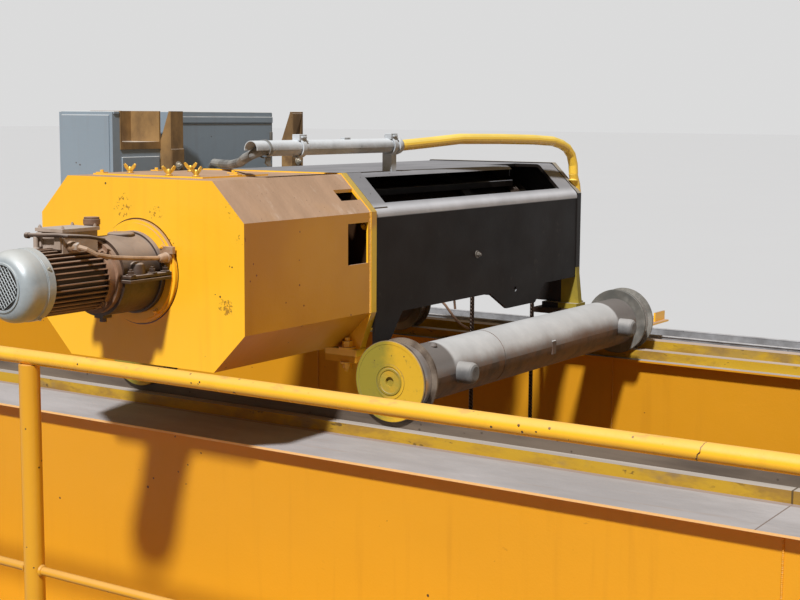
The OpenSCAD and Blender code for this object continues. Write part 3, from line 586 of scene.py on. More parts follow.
def finish_black():
    """Drum frame: black paint with grey dust that thickens on what faces up, and a painted highlight along the rounded
    fold.
    """
    f = Finish("drum_frame_black")
    base = colours().black
    tone = f.noise(2.2, 5, rough=0.6)
    colour = f.mix(tone.step(0.3, 0.72), [c * 0.72 for c in base[:3]] + [1],
                   [c * 1.5 for c in base[:3]] + [1])
    rub = f.noise(5, 5, (0.6, 4, 4), 0.7).step(0.6, 0.75)
    colour = f.mix(rub * 0.2, colour, srgb(84, 74, 66))
    up = f.facing(Z_AXIS)
    film = f.noise(9, 4).step(0.2, 0.8)
    cover = (up + film * 0.1 - 0.06).step(0.02, 0.5) * 0.97
    dust = srgb(142, 143, 148)
    patch = f.noise(4.2, 5, (2, 0.7, 1), 0.6).step(0.35, 0.68)
    powder = f.mix(patch, [c * 0.8 for c in dust[:3]] + [1], dust)
    powder = f.mix(f.chips(60, 0.11, 0.54) * 0.85, powder, srgb(52, 44, 40))
    colour = f.mix(cover, colour, powder)
    # A pale bluish band along the rounded fold below the window: painted highlight
    fold = f.place(Z_AXIS).step(1.519, 1.524) * (1 - f.place(Z_AXIS).step(1.54, 1.562))
    colour = f.mix(fold * (film * 0.3 + 0.62), colour, srgb(206, 209, 216))
    rough = 0.5 + film * 0.12 + cover * 0.3
    f.shader.inputs["Specular IOR Level"].default_value = 0.22
    return f.use(colour, rough, normal=f.bump(tone * 0.6 + f.noise(140, 2) * 0.2, 0.0009))


def finish_beam():
    """Axle beams: pale dust above, brown grime and painted shade below, paint on the lugs with painted shade on the
    rear ones, and the pin ends.
    """
    f = Finish("axle_beam_grey")
    base = colours().grey
    up = f.facing(Z_AXIS)
    cloud = f.noise(6, 6, (1, 1, 1), 0.62)
    colour = f.mix(cloud.step(0.35, 0.7), [c * 0.84 for c in base[:3]] + [1], base)
    # The underside turns dark brown: partly grime, partly painted shade
    low = 1 - (up + cloud * 0.6 - 0.3).step(-0.06, 0.56)
    brown = f.mix(f.noise(12, 5, rough=0.7).step(0.4, 0.66), srgb(98, 68, 44), srgb(48, 33, 24))
    colour = f.mix(low * 0.94, colour, brown)
    flake = f.noise(22, 5, (1, 1, 1), 0.72).step(0.64, 0.7) * f.noise(3, 2).step(0.5, 0.62)
    colour = f.mix(flake * 0.8, colour, srgb(66, 62, 60))
    across = abs(f.place(Y_AXIS))
    collar = (across + cloud * 0.03).step(0.532, 0.548)
    colour = f.mix(collar * (1 - low * 0.8) * 0.85, colour, srgb(84, 75, 69))
    pin = across.step(0.6645, 0.6655)
    olive = f.mix(f.noise(14, 4).step(0.4, 0.7), colours().worn, srgb(150, 138, 52))
    colour = f.mix(pin, colour, olive)
    lug = 1 - abs(f.place(X_AXIS) - TROLLEY[0] / 1000).step(0.3715, 0.3725)
    # Lugs on the rear half are dark brown instead of yellow: painted shade under the drum frame
    colour = f.mix(lug, colour, f.mix(f.place(Y_AXIS) > 0, colours().girder, srgb(58, 44, 34)))
    rough = 0.62 + f.noise(30, 3) * 0.16
    return f.use(colour, rough, normal=f.bump(cloud * 0.5 + f.noise(70, 4) * 0.5, 0.0016))


def finish_wheel():
    """Trolley wheels: yellow outer faces with painted shade that turns one side olive, greasy rims and a tread run
    bright.
    """
    f = Finish("trolley_wheel")
    across = abs(f.place(Y_AXIS))
    sideways = abs(f.facing(Y_AXIS)).step(0.55, 0.85)
    cloud = f.noise(7, 5, rough=0.62)
    from_hub = ((f.place(X_AXIS) - TROLLEY[0] / 1000) / (2 * WHEEL_X / 1000)).part_of() - 0.5
    # Left of the hub the face is olive, right of it yellow: painted shade and painted light
    rubbed = (from_hub * 8 + cloud - 0.5).step(-0.2, 0.24)
    face = f.mix(rubbed, srgb(138, 126, 38), srgb(206, 164, 36))
    face = f.mix(f.noise(34, 5, rough=0.7).step(0.56, 0.7) * 0.6, face, srgb(112, 98, 50))
    face = f.mix(f.chips(60, 0.12, 0.6), face, srgb(82, 66, 34))
    rim = f.mix(f.noise(18, 5).step(0.35, 0.7), srgb(116, 104, 92), srgb(60, 46, 34))
    rim = f.mix((f.place(Y_AXIS) > 0) * 0.6, rim,
                f.mix(cloud.step(0.4, 0.6), srgb(150, 152, 148), srgb(96, 100, 98)))
    outer = across.step(0.7335, 0.7345) * sideways
    colour = f.mix(outer, rim, face)
    tread = (1 - abs(across - HALF_GAUGE / 1000).step(0.021, 0.024)) * (1 - sideways)
    colour = f.mix(tread, colour, srgb(206, 200, 196))
    rough = 0.52 + cloud * 0.14 - tread * 0.3
    return f.use(colour, rough, tread * 0.9, f.bump(cloud + f.noise(90, 3) * 0.4, 0.0007))


def finish_olive():
    """Rear saddle plate: dirty olive, with black painted shade on its front face within the drum frame's width and on
    its upper part.
    """
    f = Finish("olive_paint")
    cloud = f.noise(6, 5, rough=0.65)
    colour = f.mix(cloud.step(0.3, 0.75), srgb(164, 142, 42), srgb(116, 104, 40))
    colour = f.mix(f.noise(20, 5, rough=0.7).step(0.58, 0.72) * 0.6, colour, srgb(74, 60, 30))
    # The front face within the frame's width and the upper faces are painted black: painted shade under the drum frame
    inside = (abs(f.place(X_AXIS) - TROLLEY[0] / 1000) < 0.292) * (f.facing(Y_AXIS) < -0.5)
    edge = (f.facing(Y_AXIS) < 0.5) * (f.place(Z_AXIS) > 1.285)
    colour = f.mix(inside.most(edge), colour, colours().black)
    up = f.facing(Z_AXIS).step(0.3, 0.8)
    colour = f.mix(up * 0.85, colour, srgb(168, 160, 146))
    return f.use(colour, 0.55 + cloud * 0.15, normal=f.bump(cloud, 0.001))


def finish_cabinet():
    """Cabinets: blue-grey paint with pale dust on top and grey rain marks."""
    return painted("cabinet_grey", colours().cabinet, srgb(214, 214, 212), 0.9, gloss=0.42, grime=0.1)


def finish_bracket():
    """Cabinet brackets: yellow paint under brown dust."""
    f = Finish("bracket_paint")
    cloud = f.noise(8, 5, (1, 1, 0.6), 0.62)
    colour = f.mix(cloud.step(0.36, 0.66), srgb(148, 116, 72), srgb(102, 78, 50))
    rust = f.noise(15, 5, rough=0.7).step(0.58, 0.7)
    colour = f.mix(rust * 0.6, colour, srgb(84, 58, 38))
    up = f.facing(Z_AXIS).step(0.3, 0.8)
    colour = f.mix(up * 0.9, colour, srgb(208, 198, 188))
    return f.use(colour, 0.6 + cloud * 0.15, normal=f.bump(cloud, 0.001))


def grimy(name, low, high, dust, dust_amount, roughness, metallic=0.0, depth=0.0008, scale=9.0):
    """A plain surface in two tones, with dust on what faces up."""
    f = Finish(name)
    cloud = f.noise(scale, 5, rough=0.62)
    colour = f.mix(cloud.step(0.34, 0.68), high, low)
    colour = f.mix(f.chips(55, 0.12, 0.58) * 0.7, colour, [c * 0.35 for c in low[:3]] + [1])
    up = f.facing(Z_AXIS).step(0.15, 0.8)
    cover = up * dust_amount * (f.noise(14, 4).step(0.2, 0.6) * 0.4 + 0.6)
    colour = f.mix(cover, colour, dust)
    rough = cloud * 0.16 + (roughness - 0.08) + cover * (0.84 - roughness)
    return f.use(colour, rough, (1 - cover) * metallic, f.bump(cloud * 0.5 + f.noise(110, 3) * 0.5, depth))


def finish_motor():
    """Motor: dusty brown fins, with painted shade darkening the gaps between them."""
    f = Finish("motor_black")
    x, z = f.place(X_AXIS) - TROLLEY[0] / 1000, f.place(Z_AXIS) - (TROLLEY[2] + HOIST_MID) / 1000
    # Between the fins the surface is painted near black: painted shade in the recesses
    gap = 1 - ((x * x + z * z) ** 0.5).step(0.0725, 0.0785)
    cloud = f.noise(9, 5, rough=0.62)
    colour = f.mix(cloud.step(0.34, 0.68), srgb(146, 114, 92), srgb(96, 72, 56))
    cover = f.facing(Z_AXIS).step(0.15, 0.8) * (f.noise(14, 4).step(0.2, 0.6) * 0.4 + 0.5)
    colour = f.mix(cover, colour, srgb(164, 140, 122))
    colour = f.mix(gap * 0.85, colour, srgb(14, 10, 8))
    return f.use(colour, 0.56 + cloud * 0.14, normal=f.bump(cloud * 0.5 + f.noise(110, 3) * 0.5, 0.0008))


def finish_bell():
    return grimy("bell_casting", srgb(40, 26, 18), srgb(78, 60, 48), srgb(160, 146, 136), 0.82, 0.5,
                 depth=0.0016)


def finish_cowl():
    return grimy("fan_cowl_grey", srgb(148, 157, 162), srgb(170, 180, 186), srgb(196, 196, 192), 0.6, 0.34,
                 0.25, 0.0005)


def finish_box():
    return grimy("terminal_box_grey", srgb(148, 130, 115), srgb(174, 158, 146), srgb(176, 168, 162), 0.9,
                 0.55)


def finish_conduit():
    return grimy("conduit_grey", srgb(156, 160, 164), srgb(192, 198, 204), srgb(206, 212, 218), 0.9, 0.6,
                 depth=0.0014)


def finish_hose():
    """Hose: ribbed grey plastic."""
    f = Finish("hose_grey")
    cloud = f.noise(16, 4)
    colour = f.mix(cloud.step(0.35, 0.7), srgb(146, 147, 145), srgb(96, 96, 95))
    return f.use(colour, 0.62 + cloud * 0.1, normal=f.bump(cloud, 0.0008))


def finish_cable():
    return grimy("cable_sheath", srgb(128, 96, 70), srgb(166, 140, 116), srgb(184, 164, 146), 0.6, 0.6,
                 scale=24)


def finish_rubber():
    return grimy("buffer_rubber", srgb(84, 84, 84), srgb(126, 126, 126), srgb(170, 168, 166), 0.7, 0.7)


def finish_steel():
    return grimy("dark_steel", srgb(78, 72, 66), srgb(112, 106, 98), srgb(150, 142, 134), 0.5, 0.5, 0.35)


def finish_bolt():
    return grimy("zinc_bolt", srgb(150, 140, 120), srgb(196, 190, 176), srgb(196, 186, 172), 0.5, 0.42, 0.7,
                 0.0003, 60)


def finish_gold_nut():
    return grimy("yellow_zinc", srgb(214, 150, 40), srgb(246, 200, 84), srgb(238, 214, 160), 0.3, 0.34, 0.6,
                 0.0003, 90)


def finish_rope():
    """Wire rope: greased dark steel with the twist of its strands."""
    f = Finish("wire_rope")
    turn = (f.place(Z_AXIS) * 520 + f.place(X_AXIS) * 420 + f.place(Y_AXIS) * 420).wave()
    cloud = f.noise(30, 3)
    colour = f.mix(turn * 0.5 + 0.5, srgb(30, 22, 18), srgb(78, 62, 50))
    return f.use(f.mix(cloud.step(0.4, 0.7) * 0.5, colour, srgb(60, 44, 34)), 0.42, 0.5, f.bump(turn, 0.0012))


def finish_drum():
    """Rope drum: greased steel with turned grooves."""
    f = Finish("rope_drum")
    groove = (f.place(Y_AXIS) * (2 * math.pi / sizes().rope_pitch)).wave()
    cloud = f.noise(12, 4)
    colour = f.mix(cloud.step(0.35, 0.7), srgb(82, 74, 66), srgb(48, 40, 34))
    return f.use(colour, 0.42 + cloud * 0.2, 0.6, f.bump(groove, 0.003))


def finish_tray():
    return grimy("galvanised_tray", srgb(132, 132, 134), srgb(174, 176, 180), srgb(186, 182, 180), 0.75,
                 0.42, 0.5)


def finish_walkway():
    """Walkway: worn paint on plate with raised bars, alternately turned."""
    f = Finish("walkway_plate")
    across, along = f.place(X_AXIS), f.place(Y_AXIS)
    one, two = (across + along) * 105, (across - along) * 105
    bars = (one.wave().step(0.78, 0.98) * (two * 0.5).wave().step(0.1, 0.4)).most(
        two.wave().step(0.78, 0.98) * (one * 0.5).wave().step(0.1, 0.4))
    up = f.facing(Z_AXIS).step(0.5, 0.9)
    cloud = f.noise(1.8, 6, (1, 2, 1), 0.65)
    colour = f.mix(cloud.step(0.34, 0.66), colours().girder, [c * 0.74 for c in colours().girder[:3]] + [1])
    trod = f.noise(3, 5, (0.6, 2, 1), 0.65).step(0.44, 0.6) * up
    colour = f.mix(trod * 0.75, colour, srgb(150, 142, 134))
    colour = f.mix(bars * up * 0.5, colour, srgb(176, 166, 150))
    return f.use(colour, 0.5 + cloud * 0.2, normal=f.bump(bars * up, 0.0025))


# A near-black finish for the disc behind the cowl's grille: painted shade for the cowl's inside
def finish_dark_gap():
    f = Finish("dark_gap", 0.85)
    return f.use(f.mix(f.noise(30, 2), srgb(18, 15, 13), srgb(34, 28, 24)))


NODE_FINISHES = {
    "girder": ["front_girder", "rear_girder", "end_carriages", "trolley_stops", "walkway_brackets",
               "hook_block"],
    "base_bar": ["front_rail_base"],
    "rail": ["front_rail"],
    "guide_bar": ["guide_bar", "rear_rail"],
    "steel": ["travel_wheels", "hook_sheave", "lifting_hook"],
    "cabinet": ["travel_drives", "control_cabinets"],
    "rubber": ["end_carriage_buffers", "trolley_buffers"],
    "walkway": ["walkway_floor"],
    "railing": ["handrail"],
    "post": ["railing_posts", "knee_rail"],
    "tube": ["bent_tube"],
    "tray": ["cable_tray"],
    "beam": ["axle_beams"],
    "housing": ["gear_housing"],
    "saddle": ["front_saddle_plate"],
    "cover": ["housing_cover", "adapter_plate", "tow_arm"],
    "olive": ["rear_saddle_plate"],
    "black": ["drum_frame"],
    "drum": ["rope_drum"],
    "bell": ["bell_housing"],
    "motor": ["hoist_motor"],
    "cowl": ["fan_cowl"],
    "box": ["terminal_box"],
    "cable": ["motor_cable"],
    "conduit": ["conduit_pipe"],
    "hose": ["conduit_hose"],
    "bracket": ["cabinet_frame"],
    "rope": ["hoist_ropes"],
    "wheel": ["front_left_wheel", "front_right_wheel", "rear_left_wheel", "rear_right_wheel"],
}


class Shape:
    """Gathers solids given in millimetres from an origin, and makes one mesh of them."""

    def __init__(self, origin=BRIDGE):
        self.origin = origin
        self.bm = bmesh.new()

    def loft(self, rings):
        """Joins rings of points and closes both ends; a ring of one point is a pole."""
        made = [[self.bm.verts.new(p) for p in ring] for ring in rings]
        for lower, upper in zip(made, made[1:]):
            n = max(len(lower), len(upper))
            for i in range(n):
                corners = [lower[i % len(lower)], lower[(i + 1) % len(lower)],
                           upper[(i + 1) % len(upper)], upper[i % len(upper)]]
                self.bm.faces.new([v for k, v in enumerate(corners) if v not in corners[:k]])
        for ring in (made[0], made[-1]):
            if len(ring) > 2:
                self.bm.faces.new(ring)

    def box(self, one, other):
        (x0, x1), (y0, y1), (z0, z1) = (sorted(pair) for pair in zip(one, other))
        self.loft([[(x0, y0, z), (x1, y0, z), (x1, y1, z), (x0, y1, z)] for z in (z0, z1)])

    def prism(self, outline, axis, low, high):
        """An outline in the two other axes, in their order, drawn out along an axis."""
        rings = []
        for end in (low, high):
            ring = []
            for a, b in outline:
                point = [a, b]
                point.insert(axis, end)
                ring.append(tuple(point))
            rings.append(ring)
        self.loft(rings)

    def lathe(self, profile, at, axis, sides=32):
        """A closed outline of (radius, place along the axis), turned about an axis through a point."""
        rings = []
        for radius, along in profile:
            ring = []
            for i in range(sides if radius > 0 else 1):
                angle = 2 * math.pi * i / sides
                point = [radius * math.cos(angle), radius * math.sin(angle)]
                point.insert(axis, along)
                ring.append(tuple(Vector(at) + Vector(point)))
            rings.append(ring)
        self.loft(rings)

    def disc(self, at, axis, radius, one, other, sides=24):
        """A round plate between two places along an axis."""
        low, high = sorted((one, other))
        self.lathe([(0, low), (radius, low), (radius, high), (0, high)], at, axis, sides)

    def ring(self, at, axis, outer, inner, one, other, sides=48):
        """A flat ring with a hole."""
        low, high = sorted((one, other))
        loops = []
        for radius, along in ((inner, low), (outer, low), (outer, high), (inner, high)):
            loop = []
            for i in range(sides):
                angle = 2 * math.pi * i / sides
                point = [radius * math.cos(angle), radius * math.sin(angle)]
                point.insert(axis, along)
                loop.append(self.bm.verts.new(Vector(at) + Vector(point)))
            loops.append(loop)
        for a, b in zip(loops, loops[1:] + loops[:1]):
            for i in range(sides):
                self.bm.faces.new((a[i], a[(i + 1) % sides], b[(i + 1) % sides], b[i]))

    def tube(self, path, radius, sides=14):
        """A round bar along a list of points; its radius may be a list."""
        points = [Vector(p) for p in path]
        side = None
        rings = []
        for i, point in enumerate(points):
            ahead = (points[min(i + 1, len(points) - 1)] - points[max(i - 1, 0)]).normalized()
            if side is None:
                side = ahead.orthogonal()
            side = (side - ahead * side.dot(ahead)).normalized()
            up = ahead.cross(side)
            r = radius[i] if isinstance(radius, (list, tuple)) else radius
            turns = [2 * math.pi * k / sides for k in range(sides)]
            rings.append([tuple(point + side * (r * math.cos(a)) + up * (r * math.sin(a))) for a in turns])
        self.loft(rings)

    def piece(self, name, look, body, slot, bevel=0.0, sharp=38.0):
        """Makes the object, with its place in its mesh, riding on a body."""
        bmesh.ops.recalc_face_normals(self.bm, faces=self.bm.faces)
        mesh = bpy.data.meshes.new(name)
        bmesh.ops.transform(self.bm, matrix=Matrix.Scale(0.001, 4) @ Matrix.Translation(self.origin),
                            verts=self.bm.verts)
        self.bm.to_mesh(mesh)
        self.bm.free()
        mesh.shade_smooth()
        mesh.set_sharp_from_angle(angle=math.radians(sharp))
        mesh.materials.append(finish(look))
        made = bpy.data.objects.new(name, mesh)
        bpy.context.scene.collection.objects.link(made)
        if bevel:
            edge = made.modifiers.new("Soft edges", "BEVEL")
            edge.width, edge.segments, edge.limit_method = bevel / 1000, 2, "ANGLE"
            edge.angle_limit, edge.harden_normals = math.radians(40), True
        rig.ride(made, body)
        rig.slot(made, slot)
        return made


class Pattern(Net):
    """A Geometry Nodes tree with named inputs, for what repeats."""

    def __init__(self, name, inputs):
        tree = bpy.data.node_groups.new(name, "GeometryNodeTree")
        super().__init__(tree)
        tree.interface.new_socket("Geometry", in_out="INPUT", socket_type="NodeSocketGeometry")
        for label, kind in {**inputs, "Finish": "Material"}.items():
            tree.interface.new_socket(label, in_out="INPUT", socket_type="NodeSocket" + kind)
        tree.interface.new_socket("Geometry", in_out="OUTPUT", socket_type="NodeSocketGeometry")
        self.inputs = tree.nodes.new("NodeGroupInput")
        self.outputs = tree.nodes.new("NodeGroupOutput")

    def given(self, label):
        return Wire(self, self.inputs.outputs[label])

    def moved(self, shape, **how):
        return self.node("GeometryNodeTransform", None,
                         {"Geometry": shape, **{k.title(): v for k, v in how.items()}})

    def joined(self, *shapes):
        made = self.tree.nodes.new("GeometryNodeJoinGeometry")
        for shape in reversed(shapes):
            self.tree.links.new(shape.socket, made.inputs[0])
        return Wire(self, made.outputs[0])

    def end(self, shape):
        real = self.node("GeometryNodeRealizeInstances", None, {0: shape})
        done = self.node("GeometryNodeSetMaterial", None,
                         {"Geometry": real, "Material": self.given("Finish")})
        self.feed(self.outputs.inputs[0], done)
        return self


def bolt_pattern():
    """A hexagon head on a washer at every point, each turned a little differently."""
    p = Pattern("Bolts", {"Head": "Float", "Turn": "Vector"})
    head = p.given("Head")
    hexagon = p.node("GeometryNodeMeshCylinder", None,
                     {"Vertices": 6, "Radius": head * 0.577, "Depth": head * 0.65})
    washer = p.node("GeometryNodeMeshCylinder", None,
                    {"Vertices": 20, "Radius": head * 0.92, "Depth": head * 0.22})
    stub = p.node("GeometryNodeMeshCylinder", None,
                  {"Vertices": 12, "Radius": head * 0.3, "Depth": head * 0.5})
    lift = [p.node("ShaderNodeCombineXYZ", None, {2: head * k}) for k in (0.5, 0.1, 0.95)]
    shape = p.joined(
        p.moved(hexagon, translation=lift[0]), p.moved(washer, translation=lift[1]),
        p.moved(stub, translation=lift[2]))
    angle = p.node("FunctionNodeRandomValue", {"data_type": "FLOAT"}, {2: 0.0, 3: 1.05, "Seed": 7}, 1)
    spin = p.node("FunctionNodeEulerToRotation", None, {0: p.node("ShaderNodeCombineXYZ", None, {2: angle})})
    turn = p.node("FunctionNodeEulerToRotation", None, {0: p.given("Turn")})
    placed = p.node("GeometryNodeInstanceOnPoints", None,
                    {"Points": p.given("Geometry"), "Instance": shape, "Rotation": turn})
    return p.end(p.node("GeometryNodeRotateInstances", None, {"Instances": placed, "Rotation": spin}))


def weld_pattern():
    """Overlapping ripples along every edge of a path."""
    p = Pattern("Weld bead", {"Radius": "Float"})
    radius = p.given("Radius")
    line = p.node("GeometryNodeMeshToCurve", None, {0: p.given("Geometry")})
    spots = p.node("GeometryNodeCurveToPoints", {"mode": "LENGTH"}, {"Curve": line, "Length": radius * 1.5})
    ripple = p.node("GeometryNodeMeshUVSphere", None, {"Segments": 7, "Rings": 4, "Radius": radius})
    jitter = p.node("FunctionNodeRandomValue", {"data_type": "FLOAT"}, {2: 0.82, 3: 1.15, "Seed": 3}, 1)
    return p.end(p.node("GeometryNodeInstanceOnPoints", None,
                        {"Points": spots, "Instance": ripple, "Scale": jitter}))


def winding_pattern():
    """Rope laid in turns along Z, about the seed's origin."""
    p = Pattern("Rope winding", {"Turns": "Float", "Reach": "Float", "Length": "Float", "Rope": "Float"})
    reach = p.given("Reach")
    spiral = p.node(
        "GeometryNodeCurveSpiral", None,
        {"Resolution": 36, "Rotations": p.given("Turns"), "Start Radius": reach, "End Radius": reach,
         "Height": p.given("Length")})
    section = p.node("GeometryNodeCurvePrimitiveCircle", None,
                     {"Resolution": 8, "Radius": p.given("Rope") * 0.5})
    return p.end(p.node("GeometryNodeCurveToMesh", None,
                        {"Curve": spiral, "Profile Curve": section, "Fill Caps": True}))


def grille_pattern():
    """Crossed wires in a round opening, in the plane of X and Y."""
    p = Pattern("Grille", {"Radius": "Float", "Wires": "Int", "Wire": "Float"})
    radius = p.given("Radius")
    wires = p.given("Wires")
    grid = p.node(
        "GeometryNodeMeshGrid", None,
        {"Size X": radius * 2.0, "Size Y": radius * 2.0, "Vertices X": wires, "Vertices Y": wires})
    place = p.node("GeometryNodeInputPosition")
    away = p.node("ShaderNodeVectorMath", {"operation": "LENGTH"}, {0: place}, "Value")
    inside = p.node("GeometryNodeDeleteGeometry", {"domain": "POINT"},
                    {"Geometry": grid, "Selection": away > radius * 0.99})
    lines = p.node("GeometryNodeMeshToCurve", None, {0: inside})
    section = p.node("GeometryNodeCurvePrimitiveCircle", None,
                     {"Resolution": 5, "Radius": p.given("Wire") * 0.5})
    return p.end(p.node("GeometryNodeCurveToMesh", None,
                        {"Curve": lines, "Profile Curve": section, "Fill Caps": True}))


def row_pattern():
    """A small box at every point, such as a tray's rungs."""
    p = Pattern("Rungs", {"Size": "Vector"})
    rung = p.node("GeometryNodeMeshCube", None, {"Size": p.given("Size")})
    return p.end(p.node("GeometryNodeInstanceOnPoints", None,
                        {"Points": p.given("Geometry"), "Instance": rung}))


PATTERNS = {}


def pattern(name):
    if name not in PATTERNS:
        PATTERNS[name] = globals()[name + "_pattern"]()
    return PATTERNS[name]


def grown(name, kind, points, edges, values, look, body, slot, at=None, sharp=38.0):
    """Runs a pattern on points in metres, and keeps the result as a plain mesh that rides on a body."""
    seed = bpy.data.meshes.new(name + "_seed")
    seed.from_pydata([tuple(p) for p in points], edges, [])
    source = bpy.data.objects.new(name + "_seed", seed)
    bpy.context.scene.collection.objects.link(source)
    modifier = source.modifiers.new(kind, "NODES")
    tree = pattern(kind).tree
    modifier.node_group = tree
    for item in tree.interface.items_tree:
        if item.item_type == "SOCKET" and item.in_out == "INPUT" and item.name in values:
            modifier[item.identifier] = values[item.name]
        if item.name == "Finish":
            modifier[item.identifier] = finish(look)
    bpy.context.view_layer.update()
    mesh = bpy.data.meshes.new_from_object(source.evaluated_get(bpy.context.evaluated_depsgraph_get()))
    bpy.data.objects.remove(source)
    if at is not None:
        mesh.transform(at)
    mesh.shade_smooth()
    mesh.set_sharp_from_angle(angle=math.radians(sharp))
    mesh.name = name
    made = bpy.data.objects.new(name, mesh)
    bpy.context.scene.collection.objects.link(made)
    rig.ride(made, body)
    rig.slot(made, slot)
    return made


TURNS = {"+z": (0, 0, 0), "-z": (math.pi, 0, 0), "-y": (math.pi / 2, 0, 0), "+y": (-math.pi / 2, 0, 0),
         "+x": (0, math.pi / 2, 0), "-x": (0, -math.pi / 2, 0)}


def bolts(name, points, way, origin, head, look="bolt", body="trolley", slot="dark_steel"):
    """Bolt heads at points in millimetres, facing one way."""
    return grown(name, "bolt", [(Vector(p) + origin) / 1000 for p in points], [],
                 {"Head": head * sizes().bolts, "Turn": TURNS[way]}, look, body, slot)


def weld(name, paths, origin, body, slot, look="girder", radius=None):
    """Weld beads along lists of points in millimetres."""
    points, edges = [], []
    for path in paths:
        start = len(points)
        points += [(Vector(p) + origin) / 1000 for p in path]
        edges += [(i, i + 1) for i in range(start, len(points) - 1)]
    return grown(name, "weld", points, edges, {"Radius": radius or sizes().weld}, look, body, slot)


def circle(radius, count, centre, along, start=0.0):
    """Points on a circle about the Y axis, in millimetres."""
    return [(centre[0] + radius * math.cos(start + 2 * math.pi * i / count), along,
             centre[1] + radius * math.sin(start + 2 * math.pi * i / count)) for i in range(count)]


class CRANE_OT_finishes(bpy.types.Operator):
    """Give every CAD solid its finish"""

    bl_idname = "crane.finishes"
    bl_label = "Finishes"

    def execute(self, context):
        done = set()
        for look, nodes in NODE_FINISHES.items():
            for name in nodes:
                mesh = frame["nodes"][name].data
                mesh.materials.clear()
                mesh.materials.append(finish(look))
                done.add(name)
        left = set(frame["nodes"]) - done
        if left:
            raise RuntimeError(f"no finish for {sorted(left)}")
        return {"FINISHED"}


class CRANE_OT_housing(bpy.types.Operator):
    """Build the wing nuts, cover clamps and weld lines of the gear housing"""

    bl_idname = "crane.housing"
    bl_label = "Gear housing"

    def execute(self, context):
        top = HOIST_TOP + 4
        nuts = Shape(TROLLEY)
        for x, y, turned in ((-160, -1060, 0.2), (25, -1112, 1.0), (-108, -880, 0.5), (112, -1106, 1.4)):
            nuts.lathe([(0, top), (10, top), (10, top + 3), (6.5, top + 3), (6, top + 13), (4, top + 17),
                        (0, top + 17)],
                       (x, y, 0), Z_AXIS, 14)
            for s in (-1, 1):
                wing = [(3, 5), (8, 6), (16, 15), (19, 23), (14, 26), (8, 20), (4, 13)]
                nuts.loft([[(x + s * a * math.cos(turned) - off * math.sin(turned),
                             y + s * a * math.sin(turned) + off * math.cos(turned), top + z) for a, z in wing]
                           for off in (-2, 2)])
        nuts.piece("cover_wing_nuts", "gold_nut", "trolley", "yellow_cover", 0.8)
        clips = Shape(TROLLEY)
        for x, y in ((-215, -1108), (60, -900), (136, -980), (-215, -900)):
            clips.box((x - 14, y - 9, top), (x + 14, y + 9, top + 3))
            clips.disc((x, y, 0), Z_AXIS, 5, top + 3, top + 9, 6)
        clips.piece("cover_clips", "cover", "trolley", "yellow_cover", 0.6)
        seams = [[(s * 344.5, SADDLE_FRONT - 1.5, HOIST_TOP - 98),
                  (s * 344.5, SADDLE_FRONT - 1.5, HOIST_MID - 136)]
                 for s in (-1, 1)]
        weld("housing_welds", seams, TROLLEY, "trolley", "yellow_cover", "cover", 0.003)
        return {"FINISHED"}


